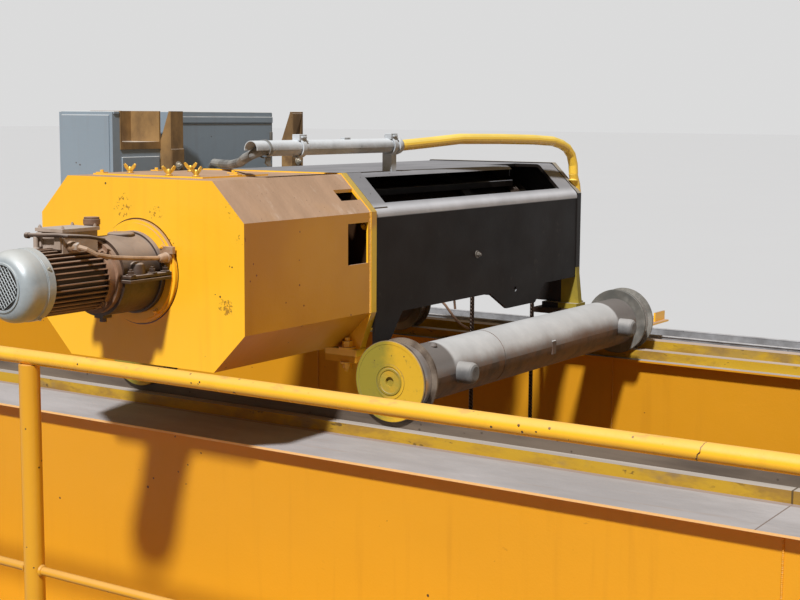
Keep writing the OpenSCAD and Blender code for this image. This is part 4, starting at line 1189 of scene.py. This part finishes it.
class CRANE_OT_motor(bpy.types.Operator):
    """Build the small pieces on the motor, its terminal box and its cowl"""

    bl_idname = "crane.motor"
    bl_label = "Motor"

    def execute(self, context):
        steps = [math.radians(9 * i) for i in range(11)]
        cowl = Shape(TROLLEY)
        wall = [(0, 0), (COWL_RADIUS, 0), (COWL_RADIUS, -23), (COWL_RADIUS - 1, -23.6),
                (COWL_RADIUS - 1, -25),
                (COWL_RADIUS, -25.6)]
        nose = [(COWL_RADIUS - 28 + 28 * math.cos(a), COWL_FRONT + 36 - 36 * math.sin(a)) for a in steps]
        profile = [(radius, MOTOR_FRONT + back) for radius, back in wall] + nose + [(0, COWL_FRONT)]
        cowl.lathe(profile, (0, 0, HOIST_MID), Y_AXIS, 72)
        made = cowl.piece("fan_cowl_shell", "cowl", "trolley", "zinc", sharp=50)
        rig.replaces(made, "fan_cowl")
        rim = Shape(TROLLEY)
        rim.ring((0, 0, HOIST_MID), Y_AXIS, 58, 52.5, COWL_FRONT - 3, COWL_FRONT + 1)
        rim.ring((0, 0, HOIST_MID), Y_AXIS, 86.2, 84.2, MOTOR_FRONT - 20, MOTOR_FRONT + 1)
        rim.piece("fan_cowl_rim", "cowl", "trolley", "zinc", 0.8)
        # A near-black disc behind the grille: painted shade for the cowl's inside
        hollow = Shape(TROLLEY)
        hollow.disc((0, 0, HOIST_MID), Y_AXIS, 52.6, COWL_FRONT - 0.6, COWL_FRONT + 0.4, 40)
        hollow.piece("fan_cowl_opening", "dark_gap", "trolley", "zinc")
        spot = Matrix.Translation((TROLLEY + Vector((0, COWL_FRONT - 2, HOIST_MID))) / 1000)
        turn = Matrix.Rotation(math.pi / 2, 4, "X") @ Matrix.Rotation(math.radians(35), 4, "Z")
        grown("fan_cowl_grille", "grille", [(0, 0, 0)], [],
              {"Radius": sizes().grille, "Wires": sizes().grille_wires, "Wire": 0.0022}, "cowl", "trolley",
              "zinc",
              spot @ turn)
        bolts("fan_cowl_screws", circle(86, 4, (0, HOIST_MID), MOTOR_FRONT - 10, 0.5), "-y", TROLLEY, 0.006)
        bell = Shape(TROLLEY)
        mid = HOIST_MID
        for s in (-1, 1):
            bell.box((s * 108 - 16, BELL_FRONT - 10, mid + 1), (s * 108 + 16, HOUSING_FRONT - 12, mid + 9))
            bell.box((s * 108 - 16, BELL_FRONT - 10, mid - 10), (s * 108 + 16, HOUSING_FRONT - 12, mid - 1.5))
            bell.lathe([(0, mid - 4), (21, mid - 4), (20, mid + 22), (17, mid + 34), (10, mid + 39),
                        (0, mid + 40)],
                       (s * 100, BELL_FRONT + 38, 0), Z_AXIS, 28)
        bell.lathe([(0, 90), (34, 90), (34, 99), (30, 103), (0, 103)], (0, BELL_FRONT + 88, mid), Z_AXIS, 28)
        bell.ring((0, 0, mid), Y_AXIS, 104, 97, HOUSING_FRONT - 26, HOUSING_FRONT - 12, 64)
        bell.piece("bell_flange", "bell", "trolley", "motor_casting", 2.0)
        bolts("bell_flange_bolts",
              [(s * 114, y, mid + 9) for s in (-1, 1) for y in (BELL_FRONT + 2, BELL_FRONT + 76,
                                                                HOUSING_FRONT - 26)],
              "+z", TROLLEY, 0.013, "bell")
        bolts("bell_ring_bolts", circle(117, 4, (0, mid), HOUSING_FRONT - 12, 0.62), "-y", TROLLEY, 0.009,
              "cover")
        bolts("end_shield_bolts", circle(84, 4, (0, mid), BELL_FRONT - 34, math.pi / 4), "-y", TROLLEY,
              0.010, "motor")
        box = Shape(TROLLEY)
        box.box((-40, BOX_FRONT - 7, BOX_TOP - 36), (-24, BOX_FRONT + 1, BOX_TOP - 2))
        box.box((20, BOX_FRONT - 7, BOX_TOP - 40), (40, BOX_FRONT + 1, BOX_TOP - 4))
        box.lathe([(0, BOX_TOP - 44), (9, BOX_TOP - 44), (9, BOX_TOP - 38), (6, BOX_TOP - 38),
                   (6, BOX_TOP - 12),
                   (0, BOX_TOP - 12)], (-33, BOX_FRONT - 14, 0), Z_AXIS, 12)
        box.piece("terminal_box_lugs", "box", "trolley", "zinc", 1.0)
        lever = Shape(TROLLEY)
        lever.tube([(-64, BOX_FRONT - 14, BOX_TOP - 10), (-50, BOX_FRONT - 14, BOX_TOP - 9),
                    (44, BOX_FRONT - 13, BOX_TOP - 5),
                    (60, BOX_FRONT - 4, BOX_TOP - 6), (66, BOX_FRONT + 60, BOX_TOP - 12),
                    (64, BOX_FRONT + 112, BOX_TOP - 22)],
                   [4.2, 5, 5, 5, 4.5, 4])
        lever.lathe([(0, -66), (7, -66), (7.5, -56), (5, -54), (0, -54)], (0, BOX_FRONT - 14, BOX_TOP - 10),
                    X_AXIS, 14)
        lever.piece("brake_lever", "bell", "trolley", "dark_steel")
        bolts("terminal_box_screws",
              [(x, y, BOX_TOP + 7) for x in (-38, 38) for y in (BOX_FRONT + 4, BOX_FRONT + 108)], "+z",
              TROLLEY, 0.007, "box")
        gland = Shape(TROLLEY)
        gland.lathe([(0, 40), (13.5, 40), (13.5, 52), (11, 54), (11, 60), (9, 69), (7.4, 72.5), (0, 72.5)],
                    (0, BOX_FRONT + 24, BOX_TOP - 34), X_AXIS, 20)
        gland.lathe([(0, -33), (7.4, -33), (9, -30), (12, -22), (12, -10), (14, -8), (14, 0), (0, 0)],
                    (110, HOUSING_FRONT - 11.5, BOX_TOP - 76), Y_AXIS, 20)
        gland.box((88, HOUSING_FRONT - 18, BOX_TOP - 66), (132, HOUSING_FRONT - 8, BOX_TOP - 48))
        gland.piece("cable_glands", "cable", "trolley", "cable_sheath", 0.6)
        cap = Shape(TROLLEY)
        y = BOX_FRONT + 135
        cap.ring((0, y, 0), Z_AXIS, 20.5, 18, mid + 128, mid + 141, 24)
        cap.lathe([(0, mid + 70), (15, mid + 70), (15, mid + 84), (12, mid + 88), (0, mid + 88)], (0, y, 0),
                  Z_AXIS, 6)
        cap.piece("breather_cap", "motor", "trolley", "motor_casting", 0.8)
        return {"FINISHED"}


class CRANE_OT_conduit(bpy.types.Operator):
    """Build the open shell, clamps and strap of the conduit"""

    bl_idname = "crane.conduit"
    bl_label = "Conduit"

    def execute(self, context):
        x, z = 230.0, HOIST_TOP + 73
        shell = Shape(TROLLEY)
        turns = [math.pi * (i / 18 * 1.1 - 0.05) for i in range(19)]
        rings = []
        for y in (-1034, -385):
            outer = [(x + 21.5 * math.cos(a), y, z + 21.5 * math.sin(a)) for a in turns]
            inner = [(x + 19.1 * math.cos(a), y, z + 19.1 * math.sin(a)) for a in reversed(turns)]
            rings.append(outer + inner)
        shell.loft(rings)
        shell.lathe([(0, -388), (25, -388), (26, -380), (23, -366), (17, -358), (0, -358)], (x, 0, z),
                    Y_AXIS, 28)
        shell.box((x - 7, -640, z + 20), (x + 7, -612, z + 26))
        shell.piece("conduit_shell", "conduit", "trolley", "grey_paint", 0.6)
        clamps = Shape(TROLLEY)
        for y in (-838, -408):
            clamps.box((x - 8, y - 16, z + 19), (x + 16, y + 16, z + 36))
            clamps.box((x - 14, y - 9, z + 26), (x + 22, y + 9, z + 31))
            clamps.ring((x, 0, z), Y_AXIS, 26, 22, y - 9, y + 9, 32)
        clamps.piece("conduit_clamps", "conduit", "trolley", "grey_paint", 1.2)
        strap = Shape(TROLLEY)
        strap.ring((x, 0, z), Y_AXIS, 24, 21.6, -984, -975, 32)
        strap.prism([(-986, z - 22), (-968, z - 20), (-972, z - 34), (-964, z - 42), (-978, z - 44),
                     (-990, z - 36)],
                    X_AXIS, x + 8, x + 14)
        strap.piece("conduit_strap", "hose", "trolley", "grey_paint", 1.5)
        return {"FINISHED"}


class CRANE_OT_cabinets(bpy.types.Operator):
    """Build doors, lids, hinges, locks and braces of the control cabinets"""

    bl_idname = "crane.cabinets"
    bl_label = "Control cabinets"

    def execute(self, context):
        door = Shape(TROLLEY)
        door.box((-504, -519, 384), (-496.5, -37, 764))
        door.box((-504, -743, 384), (-496.5, -583, 668))
        door.box((-716, -775, 794), (-497, -752, 803))
        door.box((-722, -521, 768), (-494, -34, 788))
        door.box((-722, -521, 788), (-498, -34, 803.5))
        door.box((-708, -783, 386), (-512, -778, 792))
        door.box((-723.5, -519, 384), (-716, -37, 764))
        door.box((-723.5, -743, 384), (-716, -583, 668))
        door.piece("cabinet_doors", "cabinet", "trolley", "cabinet_paint", 2.0)
        fittings = Shape(TROLLEY)
        for y, z in ((-44, 440), (-44, 580), (-44, 720)):
            fittings.disc((-495, y, 0), Z_AXIS, 6, z - 18, z + 18, 12)
        fittings.lathe([(0, -497), (12, -497), (12, -490), (9, -488), (0, -488)], (0, -490, 600), X_AXIS, 20)
        fittings.box((-489, -493, 588), (-484, -487, 612))
        for y in (-490, -715):
            fittings.lathe([(0, -731), (9, -731), (12, -728), (12, -723), (0, -723)], (0, y, 600), X_AXIS, 20)
        fittings.piece("cabinet_fittings", "steel", "trolley", "dark_steel", 0.8)
        brace = Shape(TROLLEY)
        brace.prism([(20, 800), (74, 800), (20, 700)], X_AXIS, -454.5, -451)
        brace.prism([(-578, 690), (-523, 690), (-523, 540), (-578, 600)], X_AXIS, -454.5, -451)
        brace.box((-500, 66, 380), (-452, 77, 806))
        brace.box((-722, -560, 396), (-500, -524.5, 404))
        brace.box((-726, -775, 372), (-500, -40, 379.5))
        brace.piece("cabinet_braces", "bracket", "trolley", "yellow_paint", 1.0)
        bolts("cabinet_bolts", [(-453, y, z) for y in (-550, 47) for z in (420, 480, 640)], "+x", TROLLEY,
              0.014)
        return {"FINISHED"}


class CRANE_OT_frame(bpy.types.Operator):
    """Build fasteners, strips, the tube's foot and the limit switch of the drum frame"""

    bl_idname = "crane.frame"
    bl_label = "Drum frame"

    def execute(self, context):
        bolts("frame_side_bolts", [(HOIST_SIDE, -102, HOIST_MID - 21)], "+x", TROLLEY, 0.0125, "steel")
        foot = Shape(TROLLEY)
        foot.tube([(322, 577, 606), (322, 584, 588), (322, 598, 566), (322, 605, 540), (322, 606, 512)],
                  15.5, 20)
        foot.piece("bent_tube_foot", "tube", "trolley", "yellow_cover")
        strip = Shape(TROLLEY)
        lie = 2.2
        corner, side, top = HOIST_SIDE - 99, HOIST_SIDE, HOIST_TOP
        strip.prism([(corner - 6, top + 0.2), (corner + 1, top + 0.4), (side - 10, top - 88),
                     (side - 8, top - 90),
                     (side - 8 + lie, top - 88), (corner + 2, top + lie + 0.4), (corner - 6, top + lie)],
                    Y_AXIS, FRAME_FRONT + 1, FRAME_FRONT + 66)
        strip.piece("frame_front_strip", "black", "trolley", "black_paint", 0.8)
        rim = Shape(TROLLEY)
        rim.box((corner - 60, 264, top - 34), (corner + 2, 268, top - 11))
        rim.box((120, FRAME_FRONT + 80, 560), (150, FRAME_REAR - 100, 580))
        rim.piece("frame_inner_edges", "black", "trolley", "black_paint", 1.0)
        bolts("saddle_bolts", [(s * 277, -681, 161) for s in (-1, 1)], "+z", TROLLEY, 0.026, "cover",
              slot="yellow_cover")
        bolts("saddle_nuts", [(s * 277, -681, 125) for s in (-1, 1)], "-z", TROLLEY, 0.022, "cover",
              slot="yellow_cover")
        bolts("rear_saddle_bolts", [(s * x, 600, 161) for s in (-1, 1) for x in (255, 335)], "+z", TROLLEY,
              0.024)
        bolts("saddle_face_bolts",
              [(s * x, SADDLE_FRONT, z) for s in (-1, 1) for x, z in ((326, 300), (326, 500))], "-y",
              TROLLEY, 0.012, "cover")
        drop = Shape(TROLLEY)
        drop.disc((120, -60, 0), Z_AXIS, 12, 222, 250, 16)
        drop.box((60, -90, 226), (180, -30, 236))
        drop.tube([(160, -40, 236), (190, -30, 205), (205, -8, 170), (214, 20, 142), (222, 60, 122)], 4)
        drop.tube([(150, 60, 250), (165, 64, 215), (168, 66, 180)], 4)
        drop.piece("limit_switch", "motor", "trolley", "motor_casting", 0.8)
        return {"FINISHED"}


class CRANE_OT_drum(bpy.types.Operator):
    """Lay the rope on the drum and build its end rings"""

    bl_idname = "crane.drum"
    bl_label = "Drum and rope"

    def execute(self, context):
        pitch, rope = sizes().rope_pitch, 0.014
        first, last = -0.560, 0.119
        turn = Matrix.Rotation(-math.pi / 2, 4, "X")
        for name, low, high in (("rope_winding_long", first, last), ("rope_winding_short", 0.466, 0.527)):
            count = round((high - low) / pitch)
            spot = Matrix.Translation((TROLLEY[0] / 1000, low, (TROLLEY[2] + HOIST_MID) / 1000))
            grown(name, "winding", [(0, 0, 0)], [],
                  {"Turns": float(count), "Reach": 0.2, "Length": high - low, "Rope": rope},
                  "rope", "trolley", "wire_rope", spot @ turn, 80.0)
        ends = Shape(TROLLEY)
        for y in (-596, 541):
            ends.ring((0, 0, HOIST_MID), Y_AXIS, 213, 190, y, y + 6, 72)
        ends.ring((0, 0, HOIST_MID), Y_AXIS, 218, 208, 128, 176, 72)
        ends.piece("drum_end_rings", "drum", "trolley", "dark_steel", 1.5)
        return {"FINISHED"}


class CRANE_OT_axles(bpy.types.Operator):
    """Build the rings, tabs and bolts of the axle beams and wheels"""

    bl_idname = "crane.axles"
    bl_label = "Axles and wheels"

    def execute(self, context):
        rings = Shape(TROLLEY)
        for sx in (-1, 1):
            for sy in (-1, 1):
                y = sy * (HALF_GAUGE + WHEEL_HALF)
                rings.ring((sx * WHEEL_X, 0, AXLE_Z), Y_AXIS, 36.5, 31, y - sy * 4, y + sy * 2)
                rings.disc((sx * WHEEL_X, 0, AXLE_Z), Y_AXIS, 12.8, y - sy * 9, y - sy * 8)
        rings.piece("axle_pin_rings", "olive", "trolley", "dark_steel", 0.8)
        tabs = Shape(TROLLEY)
        for s in (-1, 1):
            x = s * WHEEL_X
            low, high = sorted((x + s * 72, x + s * 84))
            tabs.box((low + 1, 42, AXLE_Z - 26), (high - 3, 66, AXLE_Z + 18))
            tabs.lathe([(0, AXLE_Z + 74), (11, AXLE_Z + 74), (9, AXLE_Z + 84), (0, AXLE_Z + 86)],
                       (x + s * 26, -560, 0), Z_AXIS, 12)
        tabs.piece("axle_beam_tabs", "beam", "trolley", "grey_paint", 2.5)
        for sx, side in ((-1, "left"), (1, "right")):
            for sy, end in ((-1, "front"), (1, "rear")):
                body = f"{end}_{side}_wheel_body"
                y = sy * (HALF_GAUGE + WHEEL_HALF)
                hub = Shape(TROLLEY)
                hub.ring((sx * WHEEL_X, 0, AXLE_Z), Y_AXIS, 47, 41, y - sy, y + sy * 1.6)
                hub.ring((sx * WHEEL_X, 0, AXLE_Z), Y_AXIS, 108, 100, y - sy, y + sy * 0.8, 72)
                hub.piece(f"{end}_{side}_wheel_ring", "wheel", body, "olive_paint", 0.6)
        bolts("tow_arm_bolts", [(WHEEL_X - 12, 1042, 66)], "+z", TROLLEY, 0.014)
        return {"FINISHED"}


class CRANE_OT_welds(bpy.types.Operator):
    """Lay the weld beads of the girders and end carriages"""

    bl_idname = "crane.welds"
    bl_label = "Welds"

    def execute(self, context):
        joint, web_plate = 1545.0, 2400.0
        outer_web, inner_web = face("rear_girder", Y_AXIS, 1) - 33, face("rear_girder", Y_AXIS, 0) + 33
        front, rear = (156, 934), (186, 964)

        def upright(x, y, ends):
            return [(x, y, z) for z in ends]

        outer = [upright(x, -outer_web, front) for x in (joint, -joint, joint + web_plate,
                                                         -joint - web_plate)]
        weld("front_girder_welds", outer, BRIDGE, "bridge", "yellow_paint")
        inner = [upright(x, -inner_web, front) for x in (joint, -joint)]
        inner += [upright(x, inner_web, rear) for x in (380, -900, 2700, -2900)]
        inner += [upright(x, outer_web, rear) for x in (700, -900, 2700, -2900)]
        weld("inner_girder_welds", inner, BRIDGE, "bridge", "yellow_paint")
        return {"FINISHED"}


class CRANE_OT_railing(bpy.types.Operator):
    """Build the posts' feet, the rail's end caps and the walkway's ribs and edge"""

    bl_idname = "crane.railing"
    bl_label = "Railing and walkway"

    def execute(self, context):
        y, rail_z, rail_end = middle("handrail", Y_AXIS), middle("handrail", Z_AXIS), face("handrail",
                                                                                           X_AXIS, 1)
        floor, knee_z = face("railing_posts", Z_AXIS, 0), middle("knee_rail", Z_AXIS)
        walk_y, walk_z = face("walkway_floor", Y_AXIS, 0), face("walkway_floor", Z_AXIS, 0)
        bay = 1900.0
        posts = [(i - 3) * bay for i in range(7)]
        feet = Shape()
        for x in posts:
            feet.ring((x, y, 0), Z_AXIS, 30, 24.2, floor, floor + 60, 32)
            feet.box((x - 45, y - 34, floor), (x + 45, y + 40, floor + 10))
            feet.lathe([(0, -33), (24, -33), (24, -23), (17, -16), (0, -16)], (x, y, rail_z), Z_AXIS, 24)
            for s in (-1, 1):
                feet.lathe([(0, s * 24), (15, s * 24), (12, s * 30), (0, s * 30)], (x, y, knee_z), X_AXIS, 16)
        feet.piece("railing_feet", "post", "bridge", "yellow_cover", 1.5)
        bolts("railing_foot_bolts", [(x + dx, y + 30, floor + 10) for x in posts for dx in (-34, 34)], "+z",
              BRIDGE,
              0.016, "bolt", "bridge")
        ends = Shape()
        for s in (-1, 1):
            cap = [(0, -2), (17, -2), (17, 2), (12, 7), (0, 8)]
            ends.lathe([(radius, s * (rail_end + out)) for radius, out in cap], (0, y, rail_z), X_AXIS, 24)
        for x in [i * 400.0 for i in range(-14, 15) if i % 4]:
            ends.box((x - 3, walk_y + 8, walk_z - 59), (x + 3, -1002, walk_z - 0.5))
        ends.box((-5860, walk_y, walk_z - 43), (5860, walk_y + 5, walk_z))
        ends.piece("walkway_edges", "girder", "bridge", "yellow_paint", 1.0)
        return {"FINISHED"}


class CRANE_OT_carriages(bpy.types.Operator):
    """Build the plates and bolts of the end carriages and the fittings of their drives"""

    bl_idname = "crane.carriages"
    bl_label = "End carriages"

    def execute(self, context):
        half, wheel_y, wheel_z = 120.0, 1250.0, middle("travel_wheels", Z_AXIS)
        carriage_x, top = face("end_carriages", X_AXIS, 1) - half, face("end_carriages", Z_AXIS, 1)
        corners = [(sx, sy) for sx in (-1, 1) for sy in (-1, 1)]
        plates = Shape()
        for sx, sy in corners:
            x, y = sx * carriage_x, sy * wheel_y
            for side in (-1, 1):
                plates.ring((0, y, wheel_z), X_AXIS, 78, 44, x + side * half, x + side * (half + 8), 40)
            hatch = y - sy * 240
            plates.box((x + sx * half, hatch - 90, 220), (x + sx * (half + 6), hatch + 90, 400))
        plates.piece("carriage_plates", "girder", "bridge", "yellow_paint", 2.0)
        turns = [k * math.pi / 3 + 0.4 for k in range(6)]
        points = [(sx * (carriage_x + half + 8), sy * wheel_y + 62 * math.cos(a), wheel_z + 62 * math.sin(a))
                  for sx, sy in corners for a in turns]
        bolts("carriage_bolts_right", [p for p in points if p[0] > 0], "+x", BRIDGE, 0.02, "bolt", "bridge")
        bolts("carriage_bolts_left", [p for p in points if p[0] < 0], "-x", BRIDGE, 0.02, "bolt", "bridge")
        spots = [(x, y) for x in (5900, 5980, 6060, 6105) for y in (-990, -660, 660, 990)]
        bolts("girder_end_bolts", [(sx * x, y, top + 6) for sx in (-1, 1) for x, y in spots], "+z", BRIDGE,
              0.024,
              "bolt", "bridge")
        drives = Shape()
        case = face("travel_drives", X_AXIS, 1) - 90
        for s in (-1, 1):
            drives.box((s * (case - 180), 1290, 226), (s * (case - 90), 1410, 262))
            drives.box((s * (case - 186), 1284, 262), (s * (case - 84), 1416, 268))
            drives.ring((0, 1348, wheel_z), X_AXIS, 79, 56, s * (case - 281), s * (case - 284), 40)
            cap = [(0, 2), (40, 2), (34, 14), (0, 14)]
            drives.lathe([(radius, s * (case - inward)) for radius, inward in cap], (0, wheel_y, wheel_z),
                         X_AXIS, 24)
        drives.piece("travel_drive_fittings", "cabinet", "bridge", "cabinet_paint", 1.5)
        return {"FINISHED"}


class CRANE_OT_hook(bpy.types.Operator):
    """Build the hook block's rims, bolts and latch"""

    bl_idname = "crane.hook"
    bl_label = "Hook block"

    def execute(self, context):
        x, y, z = Vector([middle("hook_sheave", axis) for axis in (X_AXIS, Y_AXIS, Z_AXIS)]) - TROLLEY
        guard = Shape(TROLLEY)
        for s in (-1, 1):
            guard.ring((0, y, z), X_AXIS, 52, 30, x + s * 42, x + s * 50, 32)
            guard.ring((0, y, z), X_AXIS, 229, 214, x + s * 42, x + s * 46, 72)
        guard.piece("hook_block_rims", "girder", "trolley", "yellow_paint", 1.5)
        latch = Shape(TROLLEY)
        latch.tube([(x, y - 30, z - 346), (x, y - 40, z - 362), (x, y - 48, z - 392)], 4)
        latch.lathe([(0, z - 320), (34, z - 320), (34, z - 312), (30, z - 308), (0, z - 308)], (x, y, 0),
                    Z_AXIS, 8)
        latch.piece("hook_latch", "steel", "trolley", "dark_steel", 1.0)
        spots = [(y + dy, z + dz) for dy,
                 dz in ((-150, 120), (150, 120), (-150, -120), (150, -120), (0, -255))]
        bolts("hook_block_bolts_right", [(x + 42, a, b) for a, b in spots], "+x", TROLLEY, 0.022)
        bolts("hook_block_bolts_left", [(x - 42, a, b) for a, b in spots], "-x", TROLLEY, 0.022)
        return {"FINISHED"}


class CRANE_OT_tray(bpy.types.Operator):
    """Build the rungs and lips of the cable tray"""

    bl_idname = "crane.tray"
    bl_label = "Cable tray"

    def execute(self, context):
        points = [((-5700 + i * 100) / 1000, 1.115, 0.9535) for i in range(115)]
        grown("cable_tray_rungs", "row", points, [], {"Size": (0.018, 0.16, 0.005)}, "tray", "bridge",
              "galvanised")
        lips = Shape()
        end, outer = face("cable_tray", X_AXIS, 1) - 2, face("cable_tray", Y_AXIS, 1)
        for y in (outer - 170, outer):
            lips.tube([(-end, y - 1.5, RAIL_TOP - 1), (end, y - 1.5, RAIL_TOP - 1)], 3, 8)
        lips.piece("cable_tray_lips", "tray", "bridge", "galvanised")
        return {"FINISHED"}


class CRANE_OT_stage(bpy.types.Operator):
    """Make the floor, the light and the camera"""

    bl_idname = "crane.stage"
    bl_label = "Stage"

    def execute(self, context):
        scene = bpy.context.scene
        mesh = bpy.data.meshes.new("floor")
        mesh.from_pydata([(-150, -150, 0), (150, -150, 0), (150, 150, 0), (-150, 150, 0)], [], [(0, 1, 2, 3)])
        look = Finish("floor_pale", 0.8)
        tone = look.noise(0.4, 3)
        mesh.materials.append(look.use(look.mix(tone, (0.522, 0.542, 0.57, 1), (0.534, 0.556, 0.584, 1))))
        floor = bpy.data.objects.new("floor", mesh)
        scene.collection.objects.link(floor)
        floor.visible_diffuse = False
        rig.stage(floor)
        world = bpy.data.worlds.new("studio")
        scene.world = world
        world.use_nodes = True
        net = Net(world.node_tree)
        net.tree.nodes.clear()
        out = net.tree.nodes.new("ShaderNodeOutputWorld")
        seen = net.node("ShaderNodeLightPath", output="Is Camera Ray")
        shine = net.node("ShaderNodeLightPath", output="Is Glossy Ray")
        soft = net.node("ShaderNodeBackground", None, {"Color": (1.0, 0.69, 0.35, 1), "Strength": 0.19})
        back = net.node("ShaderNodeBackground", None, {"Color": (0.71, 0.71, 0.71, 1), "Strength": 1.0})
        both = net.node("ShaderNodeMixShader", None, {0: seen, 1: soft, 2: back})
        mirror = net.node("ShaderNodeBackground", None, {"Color": (1, 1, 1, 1), "Strength": 0.3})
        net.feed(out.inputs["Surface"], net.node("ShaderNodeMixShader", None, {0: shine, 1: both, 2: mirror}))
        key = bpy.data.lights.new("key", "SUN")
        key.energy, key.angle = 4.7, math.radians(4.5)
        lamp = bpy.data.objects.new("key", key)
        lamp.rotation_euler = Vector((-0.29, 1.0, -1.22)).to_track_quat("-Z", "Y").to_euler()
        scene.collection.objects.link(lamp)
        camera = bpy.data.cameras.new("camera")
        camera.sensor_width, camera.lens = 36, 1438.4 / 800 * 36
        camera.clip_end = 400
        eye = bpy.data.objects.new("camera", camera)
        right, up = Vector((0.83398, 0.551755, 0.006578)), Vector((-0.075649, 0.102518, 0.99185))
        back_way = right.cross(up)
        turn = Matrix((right, up, back_way)).transposed().to_4x4()
        eye.matrix_world = Matrix.Translation((2.4837, -3.8532, 1.7957)) @ turn
        scene.collection.objects.link(eye)
        scene.camera = eye
        scene.view_settings.view_transform = "Standard"
        return {"FINISHED"}


OPERATORS = (
    CRANE_OT_stage, CRANE_OT_finishes, CRANE_OT_housing, CRANE_OT_motor, CRANE_OT_conduit, CRANE_OT_cabinets,
    CRANE_OT_frame, CRANE_OT_drum, CRANE_OT_axles, CRANE_OT_welds, CRANE_OT_railing, CRANE_OT_carriages,
    CRANE_OT_hook, CRANE_OT_tray,
)


class CRANE_PT_panel(bpy.types.Panel):
    """Lists the crane's sizes, colours and pieces in the sidebar."""

    bl_label = "Bridge Crane"
    bl_idname = "CRANE_PT_panel"
    bl_space_type = "VIEW_3D"
    bl_region_type = "UI"
    bl_category = "Crane"

    def draw(self, context):
        for group in (context.scene.crane_sizes, context.scene.crane_colours):
            box = self.layout.box()
            for name in group.__annotations__:
                box.prop(group, name)
        for operator in OPERATORS:
            self.layout.operator(operator.bl_idname)


CLASSES = (CraneColours, CraneSizes, *OPERATORS, CRANE_PT_panel)


def register():
    for cls in CLASSES:
        bpy.utils.register_class(cls)
    bpy.types.Scene.crane_colours = PointerProperty(type=CraneColours)
    bpy.types.Scene.crane_sizes = PointerProperty(type=CraneSizes)


def unregister():
    del bpy.types.Scene.crane_sizes
    del bpy.types.Scene.crane_colours
    for cls in reversed(CLASSES):
        bpy.utils.unregister_class(cls)


def main():
    register()
    for operator in OPERATORS:
        group, name = operator.bl_idname.split(".")
        getattr(getattr(bpy.ops, group), name)()
    boxes = {"cad": [list(c) for c in CAD_BOX], "visual": [list(c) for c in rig.bounds()]}
    with open("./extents.json", "w") as f:
        json.dump(boxes, f)


if __name__ == "__main__":
    main()
